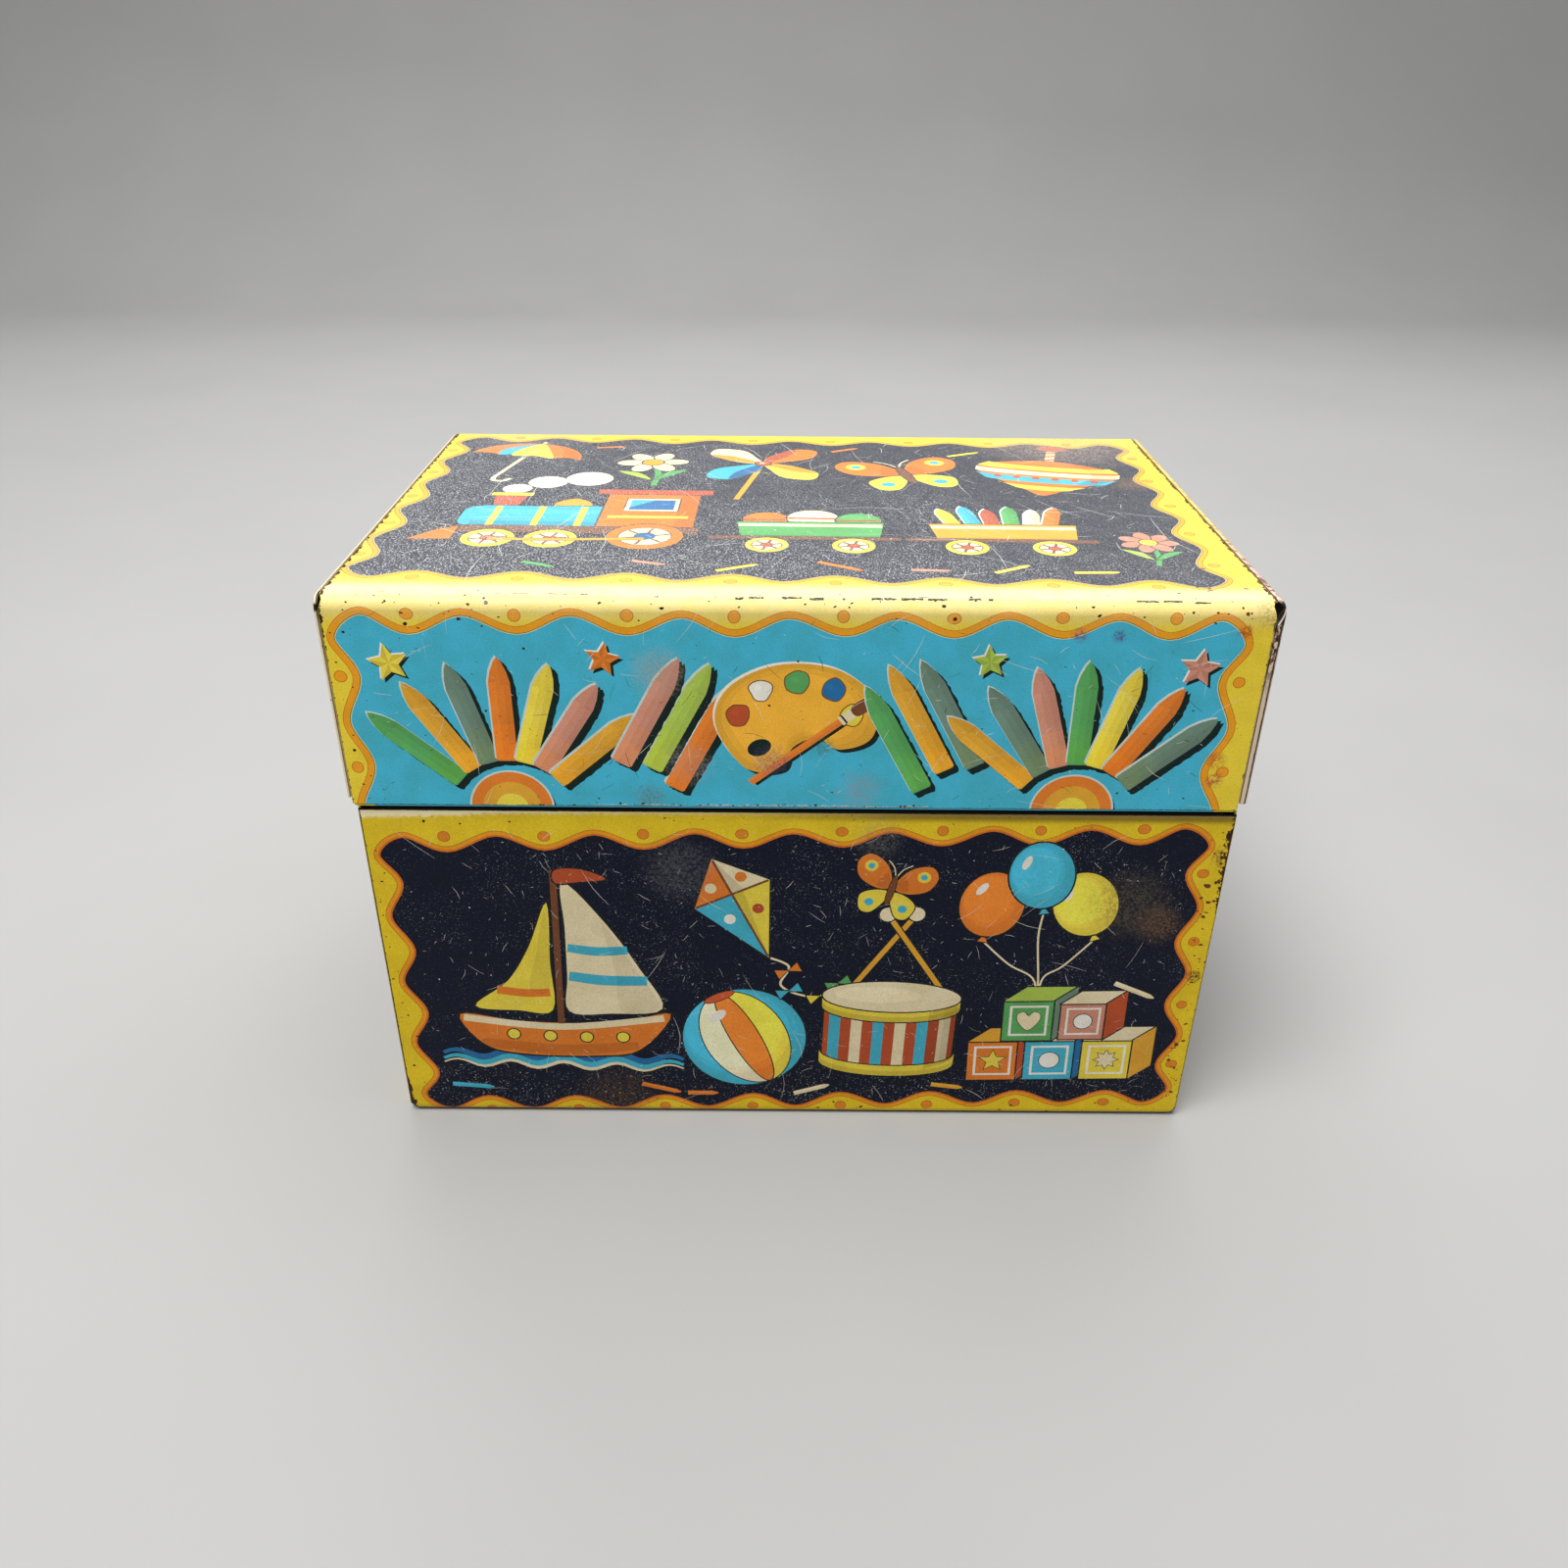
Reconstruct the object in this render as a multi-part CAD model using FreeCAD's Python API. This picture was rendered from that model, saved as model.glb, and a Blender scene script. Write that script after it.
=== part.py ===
"""Crayon tin: a small hinged box of printed tinplate, in seven pieces of sheet and wire.

The origin is at the centre of the underside, on the surface that the tin stands on. +Z is up and the front
of the tin faces -Y. Base and lid are built alike: one sheet is wrapped round front, back and bottom (or
top), and a pressed pan closes each end, with its flange under the wrap. The lid shuts over a neck stepped in
from the base's front and ends, and turns on a wire through knuckles rolled out of both wraps at the back.
The lid's right pan stands further out of its seam than the left one, and the seam is split at its top corner.
"""

import FreeCAD, Part
import math
import os

Vector = FreeCAD.Vector

# Driving dimensions, in millimetres and degrees

# The tin as a whole
tin_width = 133.4
tin_depth = 88.4
tin_height = 94.3
lid_height = 33.1
sheet = 0.3

# How lid and base meet
base_inset = 0.6
shoulder_gap = 0.7
neck_height = 7.0
neck_clearance = 0.5
neck_corner_gap = 0.5
neck_trim = 2.0
joggle_radius = 0.45

# Hems: a sheet's edge folded back flat on its inside
hem_height = 3.0
hem_fold = 0.3

# Bends of the wraps, outside radius, and the notches that relieve them at the wraps' side edges
lid_bend = 2.0
base_bend = 1.5
lid_notch_depth = 0.5
base_notch_depth = 1.1
notch_half_length = 1.6
edge_trim = 0.7

# Pressed pans at the ends: the rim that shows beside the wrap, and the flange under it
lid_left_rim = 0.35
lid_left_rim_radius = 0.25
lid_right_rim = 1.15
lid_right_rim_radius = 0.8
seam_gap = 0.25
split_depth = 0.75
split_half_length = 0.9
skirt_trim = 5.0
base_rim = 0.4
base_rim_radius = 0.65
flange = 4.0
flange_notch = 3.0
lap_gap = 0.05
pan_gap = 0.3

# Hinge
pin_radius = 0.8
pin_clearance = 0.05
pin_end_radius = 0.35
hinge_side = 2.7
pin_inset = 0.3
knuckle_count = 7
knuckle_gap = 0.3
knuckle_roll = 290.0
hinge_relief = 1.5
lid_travel = 100.0
stop_margin = 8.0

# Places that follow from them
lid_line = tin_height - lid_height
shoulder = lid_line - shoulder_gap
neck_top = shoulder + neck_height
front = -tin_depth / 2
back = tin_depth / 2
base_front = front + base_inset
lid_end = tin_width / 2
base_end = lid_end - base_inset
hem_pitch = sheet + hem_fold
hem_thickness = hem_pitch + sheet
neck_step = hem_thickness + neck_clearance - base_inset
lap = sheet + lap_gap
hinge_width = 2 * (base_end - base_rim - hinge_side)

# The hinge's axis lies so that the knuckles are flush with the back. The edges of both wraps are cut back
# from it, so that they meet, and stop the lid, a little past its travel.
knuckle_inner = pin_radius + pin_clearance
knuckle_outer = knuckle_inner + sheet
axis_y = back - knuckle_outer
axis_z = lid_line - shoulder_gap / 2
edge_cut = knuckle_outer * math.tan(math.radians((lid_travel + stop_margin) / 2))
lid_pan_edge = axis_z + edge_cut + pan_gap
base_pan_edge = axis_z - edge_cut - pan_gap
ends_back = axis_y - hinge_relief


def block(low, high):
    """Box between two corners."""
    return Part.makeBox(high[0] - low[0], high[1] - low[1], high[2] - low[2], Vector(*low))


def tidy(shape):
    """The single solid of a shape, with split faces merged."""
    return shape.removeSplitter().Solids[0]


def turned(direction, angle):
    """A flat direction turned by an angle in radians."""
    across, along = direction
    cosine, sine = math.cos(angle), math.sin(angle)
    return (across * cosine - along * sine, across * sine + along * cosine)


def strip_line(corners, radii, offset, place):
    """Edges of a bent line that runs beside the middle line of a sheet, at a signed distance to its left."""
    last = len(corners) - 1
    runs = [math.dist(corners[i], corners[i + 1]) for i in range(last)]
    ways = [((corners[i + 1][0] - corners[i][0]) / runs[i], (corners[i + 1][1] - corners[i][1]) / runs[i])
            for i in range(last)]
    turns = [0.0]
    for before, after in zip(ways, ways[1:]):
        turns.append(math.atan2(before[0] * after[1] - before[1] * after[0],
                                before[0] * after[0] + before[1] * after[1]))
    turns.append(0.0)
    bends = [0.0] + list(radii) + [0.0]
    tangents = [bend * math.tan(abs(turn) / 2) for bend, turn in zip(bends, turns)]
    edges = []
    for i, way in enumerate(ways):
        left = (-way[1], way[0])
        start = [corners[i][k] + way[k] * tangents[i] + left[k] * offset for k in (0, 1)]
        end = [corners[i + 1][k] - way[k] * tangents[i + 1] + left[k] * offset for k in (0, 1)]
        if runs[i] - tangents[i] - tangents[i + 1] > 1e-6:
            edges.append(Part.makeLine(place(*start), place(*end)))
        if i + 1 < last:
            sign = math.copysign(1.0, turns[i + 1])
            radius = bends[i + 1] - sign * offset
            centre = [end[k] + left[k] * sign * radius for k in (0, 1)]
            spoke = (-left[0] * sign, -left[1] * sign)
            half = turned(spoke, turns[i + 1] / 2)
            full = turned(spoke, turns[i + 1])
            middle = [centre[k] + half[k] * radius for k in (0, 1)]
            finish = [centre[k] + full[k] * radius for k in (0, 1)]
            edges.append(Part.Arc(place(*end), place(*middle), place(*finish)).toShape())
    return edges


def bent_sheet(corners, radii, place, sweep):
    """Solid of a sheet of even thickness that follows a line of corners, each with a middle bend radius."""
    sides = [strip_line(corners, radii, offset, place) for offset in (sheet / 2, -sheet / 2)]
    ends = []
    for index, vertex in ((0, 0), (-1, -1)):
        points = [side[index].Vertexes[vertex].Point for side in sides]
        ends.append(Part.makeLine(points[0], points[1]))
    wire = Part.Wire(Part.__sortEdges__(sides[0] + sides[1] + ends))
    return Part.Face(wire).extrude(sweep)


def across_place(y, z):
    """Point in the section plane of a wrap."""
    return Vector(0, y, z)


def along_place(x, z):
    """Point in the section plane of an end."""
    return Vector(x, 0, z)


def knuckle(start, length, way):
    """Rolled tube from a wrap's back edge, with the straight tab that joins it; way is +1 from above."""
    def at(radius, angle):
        return Vector(start, axis_y + radius * math.cos(angle), axis_z - way * radius * math.sin(angle))

    roll = math.radians(knuckle_roll)
    tab = Vector(0, 0, way * edge_cut)
    outside = Part.Arc(at(knuckle_outer, 0), at(knuckle_outer, roll / 2), at(knuckle_outer, roll)).toShape()
    inside = Part.Arc(at(knuckle_inner, 0), at(knuckle_inner, roll / 2), at(knuckle_inner, roll)).toShape()
    edges = [
        outside,
        inside,
        Part.makeLine(at(knuckle_outer, roll), at(knuckle_inner, roll)),
        Part.makeLine(at(knuckle_inner, 0), at(knuckle_inner, 0) + tab),
        Part.makeLine(at(knuckle_inner, 0) + tab, at(knuckle_outer, 0) + tab),
        Part.makeLine(at(knuckle_outer, 0) + tab, at(knuckle_outer, 0)),
    ]
    wire = Part.Wire(Part.__sortEdges__(edges))
    return Part.Face(wire).extrude(Vector(length, 0, 0))


def knuckles(first, way):
    """Every second knuckle along the hinge, from the first one given."""
    pitch = hinge_width / knuckle_count
    places = [-hinge_width / 2 + i * pitch + knuckle_gap / 2 for i in range(first, knuckle_count, 2)]
    return [knuckle(place, pitch - knuckle_gap, way) for place in places]


def both_sides(cutter):
    """A cutter made for the right side, and its mirror image."""
    return [cutter, cutter.mirror(Vector(0, 0, 0), Vector(1, 0, 0))]


def bend_notch(edge, corner_y, corner_z, way_y, way_z, bend, depth, half_length):
    """Wedge that opens a side edge at a bend, whose sharp corner and outward ways are given.

    It reaches in from the edge by its depth, or out from it where the depth is negative.
    """
    outward = Vector(0, way_y, way_z) * math.sqrt(0.5)
    along = Vector(0, -way_z, way_y) * math.sqrt(0.5)
    middle = Vector(edge, corner_y, corner_z) - outward * 2 * bend
    over = Vector(math.copysign(sheet, depth), 0, 0)
    corners = [
        middle + over + along * half_length,
        middle + along * half_length,
        middle - Vector(depth, 0, 0),
        middle - along * half_length,
        middle + over - along * half_length,
    ]
    return Part.Face(Part.makePolygon(corners + [corners[0]])).extrude(outward * 3 * bend)


def corner_wedge(x, z, size, up, low_y, high_y):
    """Wedge that trims an upright sheet's corner; up is +1 for an upper corner and -1 for a lower one."""
    corners = [
        Vector(x - size, low_y, z),
        Vector(x, low_y, z - up * size),
        Vector(x + size, low_y, z - up * size),
        Vector(x + size, low_y, z + up * size),
        Vector(x - size, low_y, z + up * size),
    ]
    return Part.Face(Part.makePolygon(corners + [corners[0]])).extrude(Vector(0, high_y - low_y, 0))


def lid_wrap_cuts(rim):
    """Cutters for the right side of the lid's wrap, beside a rim of the given width."""
    edge = lid_end - rim - seam_gap
    cuts = [block((lid_end - rim - flange - pan_gap, front + sheet, lid_line - sheet),
                  (edge + sheet, front + 2 * hem_thickness, lid_line + hem_height + sheet))]
    for y, way in ((front, -1), (back, 1)):
        cuts.append(bend_notch(edge, y, tin_height, way, 1, lid_bend, lid_notch_depth, notch_half_length))
    cuts.append(corner_wedge(edge, lid_line, edge_trim, -1, front - sheet, front + 2 * sheet))
    return cuts


def make_lid_wrap():
    """Front, top and back of the lid, hemmed in front and rolled into knuckles behind."""
    left_edge = lid_end - lid_left_rim - seam_gap
    right_edge = lid_end - lid_right_rim - seam_gap
    half = sheet / 2
    hem_inner = front + half + hem_pitch
    corners = [
        (hem_inner, lid_line + hem_height),
        (hem_inner, lid_line + half),
        (front + half, lid_line + half),
        (front + half, tin_height - half),
        (back - half, tin_height - half),
        (back - half, axis_z + edge_cut),
    ]
    radii = [hem_pitch / 2, hem_pitch / 2, lid_bend - half, lid_bend - half]
    wrap = bent_sheet(corners, radii, across_place, Vector(left_edge + right_edge, 0, 0))
    wrap.translate(Vector(-left_edge, 0, 0))
    left_cuts = [mirrored(cutter) for cutter in lid_wrap_cuts(lid_left_rim)]
    wrap = wrap.cut(lid_wrap_cuts(lid_right_rim) + left_cuts)
    return tidy(wrap.fuse(knuckles(1, 1)))


def make_base_wrap():
    """Front, bottom and back of the base, with the neck in front and knuckles behind."""
    edge = base_end - base_rim
    half = sheet / 2
    neck = base_front + neck_step + half
    corners = [
        (neck + hem_pitch, neck_top - hem_height),
        (neck + hem_pitch, neck_top - half),
        (neck, neck_top - half),
        (neck, shoulder + neck_step),
        (base_front + half, shoulder),
        (base_front + half, half),
        (back - half, half),
        (back - half, axis_z - edge_cut),
    ]
    radii = [hem_pitch / 2, hem_pitch / 2, joggle_radius, joggle_radius, base_bend - half, base_bend - half]
    wrap = bent_sheet(corners, radii, across_place, Vector(2 * edge, 0, 0))
    wrap.translate(Vector(-edge, 0, 0))
    neck_half = base_end - neck_step - hem_thickness - neck_corner_gap
    neck_back = base_front + neck_step + 2 * hem_thickness
    cuts = both_sides(block((neck_half, front, shoulder), (edge + sheet, neck_back, neck_top + sheet)))
    cuts += both_sides(corner_wedge(neck_half, neck_top, neck_trim, 1, front, neck_back))
    for y, way in ((base_front, -1), (back, 1)):
        cuts += both_sides(bend_notch(edge, y, 0, way, -1, base_bend, base_notch_depth, notch_half_length))
    wrap = wrap.cut(cuts)
    return tidy(wrap.fuse(knuckles(0, -1)))


def pan_body(start, end, low_y, high_y, closed, opened, corner, rim_radius):
    """Prism along X of a pan's outline: two rounded corners at its closed level, none at the open one.

    With a rim radius, the edges round its outer face are rounded too.
    """
    way = math.copysign(1.0, opened - closed)
    bulge = corner * (1 - math.sqrt(0.5))
    points = {
        "open_low": Vector(start, low_y, opened),
        "low": Vector(start, low_y, closed + way * corner),
        "low_arc": Vector(start, low_y + bulge, closed + way * bulge),
        "closed_low": Vector(start, low_y + corner, closed),
        "closed_high": Vector(start, high_y - corner, closed),
        "high_arc": Vector(start, high_y - bulge, closed + way * bulge),
        "high": Vector(start, high_y, closed + way * corner),
        "open_high": Vector(start, high_y, opened),
    }
    edges = [
        Part.makeLine(points["open_low"], points["low"]),
        Part.Arc(points["low"], points["low_arc"], points["closed_low"]).toShape(),
        Part.makeLine(points["closed_low"], points["closed_high"]),
        Part.Arc(points["closed_high"], points["high_arc"], points["high"]).toShape(),
        Part.makeLine(points["high"], points["open_high"]),
        Part.makeLine(points["open_high"], points["open_low"]),
    ]
    body = Part.Face(Part.Wire(edges)).extrude(Vector(end - start, 0, 0))
    if rim_radius:
        rim = [edge for edge in body.Edges
               if all(abs(vertex.X - end) < 1e-6 for vertex in edge.Vertexes)
               and not all(abs(vertex.Z - opened) < 1e-6 for vertex in edge.Vertexes)]
        body = body.makeFillet(rim_radius, rim)
    return body


def inset_body(start, end, inset, outline, rim_radius, reach=0.0):
    """A pan's prism with its outline set in, and its open side carried on by a reach."""
    low_y, high_y, closed, opened, corner = outline
    way = math.copysign(1.0, opened - closed)
    return pan_body(start, end, low_y + inset, high_y - inset, closed + way * inset, opened + way * reach,
                    corner - inset, rim_radius)


def flange_notches(end, inner, outline, inset):
    """Blocks that open a flange's two corners, so that it folds without puckering."""
    low_y, high_y, closed, opened, corner = outline
    way = math.copysign(1.0, opened - closed)
    size = flange_notch + inset
    level = closed + way * size
    low_z = min(level, closed - way * sheet)
    high_z = max(level, closed - way * sheet)
    return [
        block((inner - sheet, low_y - sheet, low_z), (end, low_y + size, high_z)),
        block((inner - sheet, high_y - size, low_z), (end, high_y + sheet, high_z)),
    ]


def skirt_wedge():
    """Wedge that trims the lower front corner of a lid end's skirt."""
    corners = [
        Vector(0, front, lid_pan_edge),
        Vector(0, front, lid_line - sheet),
        Vector(0, front + skirt_trim, lid_line - sheet),
    ]
    return Part.Face(Part.makePolygon(corners + [corners[0]])).extrude(Vector(tin_width, 0, 0))


def make_lid_end(rim, rim_radius):
    """Right pan of the lid: a proud rim beside the wrap, and a flange stepped in to lie under it.

    A rim too narrow to be hollow is folded flat.
    """
    edge = lid_end - rim
    inner = edge - flange
    outline = (front, back, tin_height, lid_pan_edge, lid_bend)
    outside = inset_body(edge, lid_end, 0, outline, rim_radius)
    outside = outside.fuse(inset_body(inner, edge, lap, outline, 0))
    if rim > 2 * sheet:
        hollow = inset_body(edge + sheet, lid_end - sheet, sheet, outline, rim_radius - sheet, reach=sheet)
        hollow = hollow.fuse(inset_body(inner - sheet, edge + sheet, lap + sheet, outline, 0, reach=sheet))
    else:
        hollow = inset_body(inner - sheet, lid_end - sheet, lap + sheet, outline, 0, reach=sheet)
    pan = outside.cut(hollow)
    pan = pan.cut(flange_notches(edge - lap_gap, inner, outline, lap))
    half = sheet / 2
    hem_inner = lid_end - half - hem_pitch
    skirt = bent_sheet(
        [
            (lid_end - half, lid_pan_edge),
            (lid_end - half, lid_line + half),
            (hem_inner, lid_line + half),
            (hem_inner, lid_line + hem_height),
        ],
        [hem_pitch / 2, hem_pitch / 2], along_place, Vector(0, ends_back - front - lid_right_rim_radius, 0))
    skirt.translate(Vector(0, front + lid_right_rim_radius, 0))
    return tidy(pan.fuse(skirt.cut(skirt_wedge())))


def make_lid_right_end():
    """The lid's right pan, split open at the top front corner of its seam."""
    split = bend_notch(lid_end - lid_right_rim, front, tin_height, -1, 1, lid_bend, -split_depth,
                       split_half_length)
    return tidy(make_lid_end(lid_right_rim, lid_right_rim_radius).cut(split))


def make_lid_left_end():
    """The lid's left pan, whose rim hardly shows beside the wrap."""
    return mirrored(make_lid_end(lid_left_rim, lid_left_rim_radius))


def make_base_right_end():
    """Pan of the base: a rounded rim that dips under the wrap, with the neck above it."""
    edge = base_end - base_rim
    inner = edge - flange
    outline = (base_front, back, 0, base_pan_edge, base_bend)
    outside = inset_body(inner, base_end, lap, outline, base_rim_radius)
    hollow = inset_body(inner - sheet, base_end - sheet, lap + sheet, outline, base_rim_radius - sheet,
                        reach=sheet)
    pan = outside.cut(hollow)
    pan = pan.cut(flange_notches(edge - lap_gap, inner, outline, lap))
    half = sheet / 2
    neck = base_end - neck_step - half
    low_y = base_front + neck_step + neck_corner_gap
    neck_sheet = bent_sheet(
        [
            (base_end - half, base_pan_edge),
            (base_end - half, shoulder),
            (neck, shoulder + neck_step),
            (neck, neck_top - half),
            (neck - hem_pitch, neck_top - half),
            (neck - hem_pitch, neck_top - hem_height),
        ],
        [joggle_radius, joggle_radius, hem_pitch / 2, hem_pitch / 2], along_place,
        Vector(0, ends_back - low_y, 0))
    neck_sheet.translate(Vector(0, low_y, 0))
    return tidy(pan.fuse(neck_sheet))


def make_hinge_pin():
    """Straight wire through the knuckles, with its cut ends rounded."""
    length = hinge_width - 2 * pin_inset
    pin = Part.makeCylinder(pin_radius, length, Vector(-length / 2, axis_y, axis_z), Vector(1, 0, 0))
    rims = [edge for edge in pin.Edges if edge.Curve.TypeId == "Part::GeomCircle"]
    return pin.makeFillet(pin_end_radius, rims)


def mirrored(shape):
    """A shape made for the right side, moved to the left."""
    return shape.mirror(Vector(0, 0, 0), Vector(1, 0, 0))


def main():
    base_right_end = make_base_right_end()
    pieces = {
        "base_wrap": make_base_wrap(),
        "base_left_end": mirrored(base_right_end),
        "base_right_end": base_right_end,
        "lid_wrap": make_lid_wrap(),
        "lid_left_end": make_lid_left_end(),
        "lid_right_end": make_lid_right_end(),
        "hinge_pin": make_hinge_pin(),
    }
    os.makedirs("parts", exist_ok=True)
    for name, shape in pieces.items():
        shape.exportStep(f"parts/{name}.step")
        box = shape.BoundBox
        print(f"{name}: {len(shape.Solids)} solid, valid {shape.isValid()}, {shape.Volume:.1f} mm3, "
              f"x {box.XMin:.2f} to {box.XMax:.2f}, y {box.YMin:.2f} to {box.YMax:.2f}, "
              f"z {box.ZMin:.2f} to {box.ZMax:.2f}")
    print(f"hinge axis at y {axis_y:.3f}, z {axis_z:.3f}")


main()
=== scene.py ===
import math
import random

import bpy
import numpy as np
from mathutils import Matrix, Vector
from mathutils.geometry import delaunay_2d_cdt


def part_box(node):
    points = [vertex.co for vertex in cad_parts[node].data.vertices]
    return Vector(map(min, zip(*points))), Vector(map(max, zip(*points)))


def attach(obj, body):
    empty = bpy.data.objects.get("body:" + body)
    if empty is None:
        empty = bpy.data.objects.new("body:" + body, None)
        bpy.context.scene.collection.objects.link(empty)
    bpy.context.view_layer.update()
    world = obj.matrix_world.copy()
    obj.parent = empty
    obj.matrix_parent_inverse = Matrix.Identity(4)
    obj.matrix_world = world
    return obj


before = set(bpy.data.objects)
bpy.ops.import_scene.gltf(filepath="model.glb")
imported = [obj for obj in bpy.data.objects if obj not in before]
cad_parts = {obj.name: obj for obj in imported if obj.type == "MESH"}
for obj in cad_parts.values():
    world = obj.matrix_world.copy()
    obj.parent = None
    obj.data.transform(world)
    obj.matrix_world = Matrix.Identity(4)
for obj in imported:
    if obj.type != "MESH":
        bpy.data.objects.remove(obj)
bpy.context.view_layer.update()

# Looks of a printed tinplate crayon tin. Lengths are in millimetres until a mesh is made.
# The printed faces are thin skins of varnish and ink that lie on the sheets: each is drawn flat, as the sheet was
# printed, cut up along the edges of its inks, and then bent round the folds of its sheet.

MM = 0.001

# Camera, fitted to the photograph
IMAGE_SIDE = 1600
FOCAL_PIXELS = 1311.75
SENSOR_WIDTH = 36.0
CAMERA_PLACE = (-2.453, -208.786, 158.822)
CAMERA_YAW = 0.125
CAMERA_PITCH = 29.524
CAMERA_ROLL = 0.491


def corners_of(node):
    """Lowest and highest corner of a CAD node in millimetres."""
    low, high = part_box(node)
    return np.array(low) / MM, np.array(high) / MM


# Sheets, from the frame
lid_low, lid_high = corners_of("lid_wrap")
base_low, base_high = corners_of("base_wrap")
lid_end_low, lid_end_high = corners_of("lid_right_end")
base_end_low, base_end_high = corners_of("base_right_end")
pin_low, pin_high = corners_of("hinge_pin")
FRONT = lid_low[1]
BACK = lid_high[1]
TOP = lid_high[2]
LID_LEFT = lid_low[0]
LID_RIGHT = lid_high[0]
BASE_LEFT = base_low[0]
BASE_RIGHT = base_high[0]
BASE_FRONT = base_low[1]
LID_SIDE = lid_end_high[0]
BASE_SIDE = base_end_high[0]
LID_LINE = lid_end_low[2]
PIN_Z = (pin_low[2] + pin_high[2]) / 2

# Bends, notches and seams of the sheets
LID_BEND = 2.0
BASE_BEND = 1.5
HEM_RADIUS = 0.45
LID_NOTCH = 0.5
BASE_NOTCH = 1.1
NOTCH_HALF = 1.6
EDGE_TRIM = 0.7
HINGE_CUT = 1.583
SHOULDER = LID_LINE - 0.7
JOGGLE = 0.19
LEFT_RIM_RADIUS = 0.25
RIGHT_RIM_RADIUS = 0.8
SKIRT_TRIM = 5.0
BASE_RIM_RADIUS = 0.65
LID_PAN_EDGE = PIN_Z + HINGE_CUT + 0.3
BASE_PAN_EDGE = PIN_Z - HINGE_CUT - 0.3
BASE_PAN_INSET = 0.35
ENDS_BACK = 41.55
NECK_FRONT = BASE_FRONT + 1.3

# Print skins
SKIN_LOW = 0.008
SKIN_HIGH = 0.03
SKIN_MARGIN = 0.05
BEND_STEPS = 12

INKS = {
    "yellow": (240, 212, 58),
    "sky": (70, 184, 212),
    "navy": (2, 11, 38),
    "ochre": (240, 208, 36),
    "orange": (240, 162, 30),
    "burnt": (204, 120, 28),
    "ember": (222, 114, 34),
    "ginger": (232, 142, 36),
    "amber": (224, 176, 36),
    "olive": (164, 122, 22),
    "moss": (74, 92, 40),
    "pale": (232, 214, 160),
    "cream": (240, 226, 186),
    "white": (246, 242, 230),
    "light": (206, 220, 214),
    "lemon": (240, 218, 74),
    "gold": (230, 170, 52),
    "tangerine": (232, 130, 44),
    "brick": (190, 82, 42),
    "leaf": (92, 172, 96),
    "lime": (176, 204, 84),
    "sage": (112, 140, 122),
    "rose": (212, 146, 122),
    "deep": (38, 112, 168),
    "brown": (122, 72, 40),
    "line": (24, 30, 28),
    "shadow": (8, 34, 30),
    "scratch": (226, 224, 214),
    "chip": (52, 32, 22),
    "rust": (112, 62, 36),
}


def linear(colour):
    """Colour in linear light from its 0 to 255 values."""
    return tuple(c / 12.92 if c <= 0.04045 else ((c + 0.055) / 1.055) ** 2.4 for c in (v / 255 for v in colour))


# Flat drawing: a shape is an ink's name, or a tint as three factors, with its outline as points

def ellipse(x, y, wide, high, turn=0.0, count=28, start=0.0, sweep=360.0):
    """Points round an ellipse, or along an arc of it."""
    closed = abs(sweep - 360.0) < 1e-6
    steps = count if closed else count - 1
    c, s = math.cos(math.radians(turn)), math.sin(math.radians(turn))
    points = []
    for i in range(count):
        angle = math.radians(start + sweep * i / steps)
        u, v = wide * math.cos(angle), high * math.sin(angle)
        points.append((x + u * c - v * s, y + u * s + v * c))
    return points


def circle(x, y, radius, count=28):
    return ellipse(x, y, radius, radius, 0.0, count)


def star(x, y, outer, inner, rays, turn=90.0):
    """Star with straight rays."""
    points = []
    for i in range(2 * rays):
        radius = inner if i % 2 else outer
        angle = math.radians(turn + 180.0 * i / rays)
        points.append((x + radius * math.cos(angle), y + radius * math.sin(angle)))
    return points


def rectangle(x0, y0, x1, y1):
    return [(x0, y0), (x1, y0), (x1, y1), (x0, y1)]


def smooth(points, closed=True, steps=6):
    """Catmull-Rom curve through the points."""
    p = np.array(points, float)
    n = len(p)
    result = []
    for i in range(n if closed else n - 1):
        if closed:
            a, b, c, d = p[(i - 1) % n], p[i], p[(i + 1) % n], p[(i + 2) % n]
        else:
            a, b, c, d = p[max(i - 1, 0)], p[i], p[i + 1], p[min(i + 2, n - 1)]
        for k in range(steps):
            t = k / steps
            result.append(tuple(0.5 * (2 * b + (c - a) * t + (2 * a - 5 * b + 4 * c - d) * t * t
                                       + (3 * b - a - 3 * c + d) * t ** 3)))
    if not closed:
        result.append(tuple(p[-1]))
    return result


def normals_of(points, closed=True):
    """Unit normals to the right of a line of points, which point outward on a closed line drawn leftward."""
    p = np.array(points, float)
    if closed:
        way = np.roll(p, -1, 0) - np.roll(p, 1, 0)
    else:
        way = np.gradient(p, axis=0)
    way /= np.maximum(np.linalg.norm(way, axis=1), 1e-9)[:, None]
    return np.stack([way[:, 1], -way[:, 0]], 1)


def area_of(points):
    p = np.array(points, float)
    q = np.roll(p, -1, 0)
    return 0.5 * float(np.sum(p[:, 0] * q[:, 1] - p[:, 1] * q[:, 0]))


def grown(points, distance):
    """The outline set out by a distance, with its corners mitred."""
    p = np.array(points, float)
    if area_of(p) < 0:
        p = p[::-1]
    before = p - np.roll(p, 1, 0)
    after = np.roll(p, -1, 0) - p
    before /= np.maximum(np.linalg.norm(before, axis=1), 1e-9)[:, None]
    after /= np.maximum(np.linalg.norm(after, axis=1), 1e-9)[:, None]
    middle = np.stack([before[:, 1] + after[:, 1], -before[:, 0] - after[:, 0]], 1)
    length = np.maximum(np.linalg.norm(middle, axis=1), 0.6)
    return [tuple(q) for q in p + middle * (2 * distance / length ** 2)[:, None]]


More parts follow.
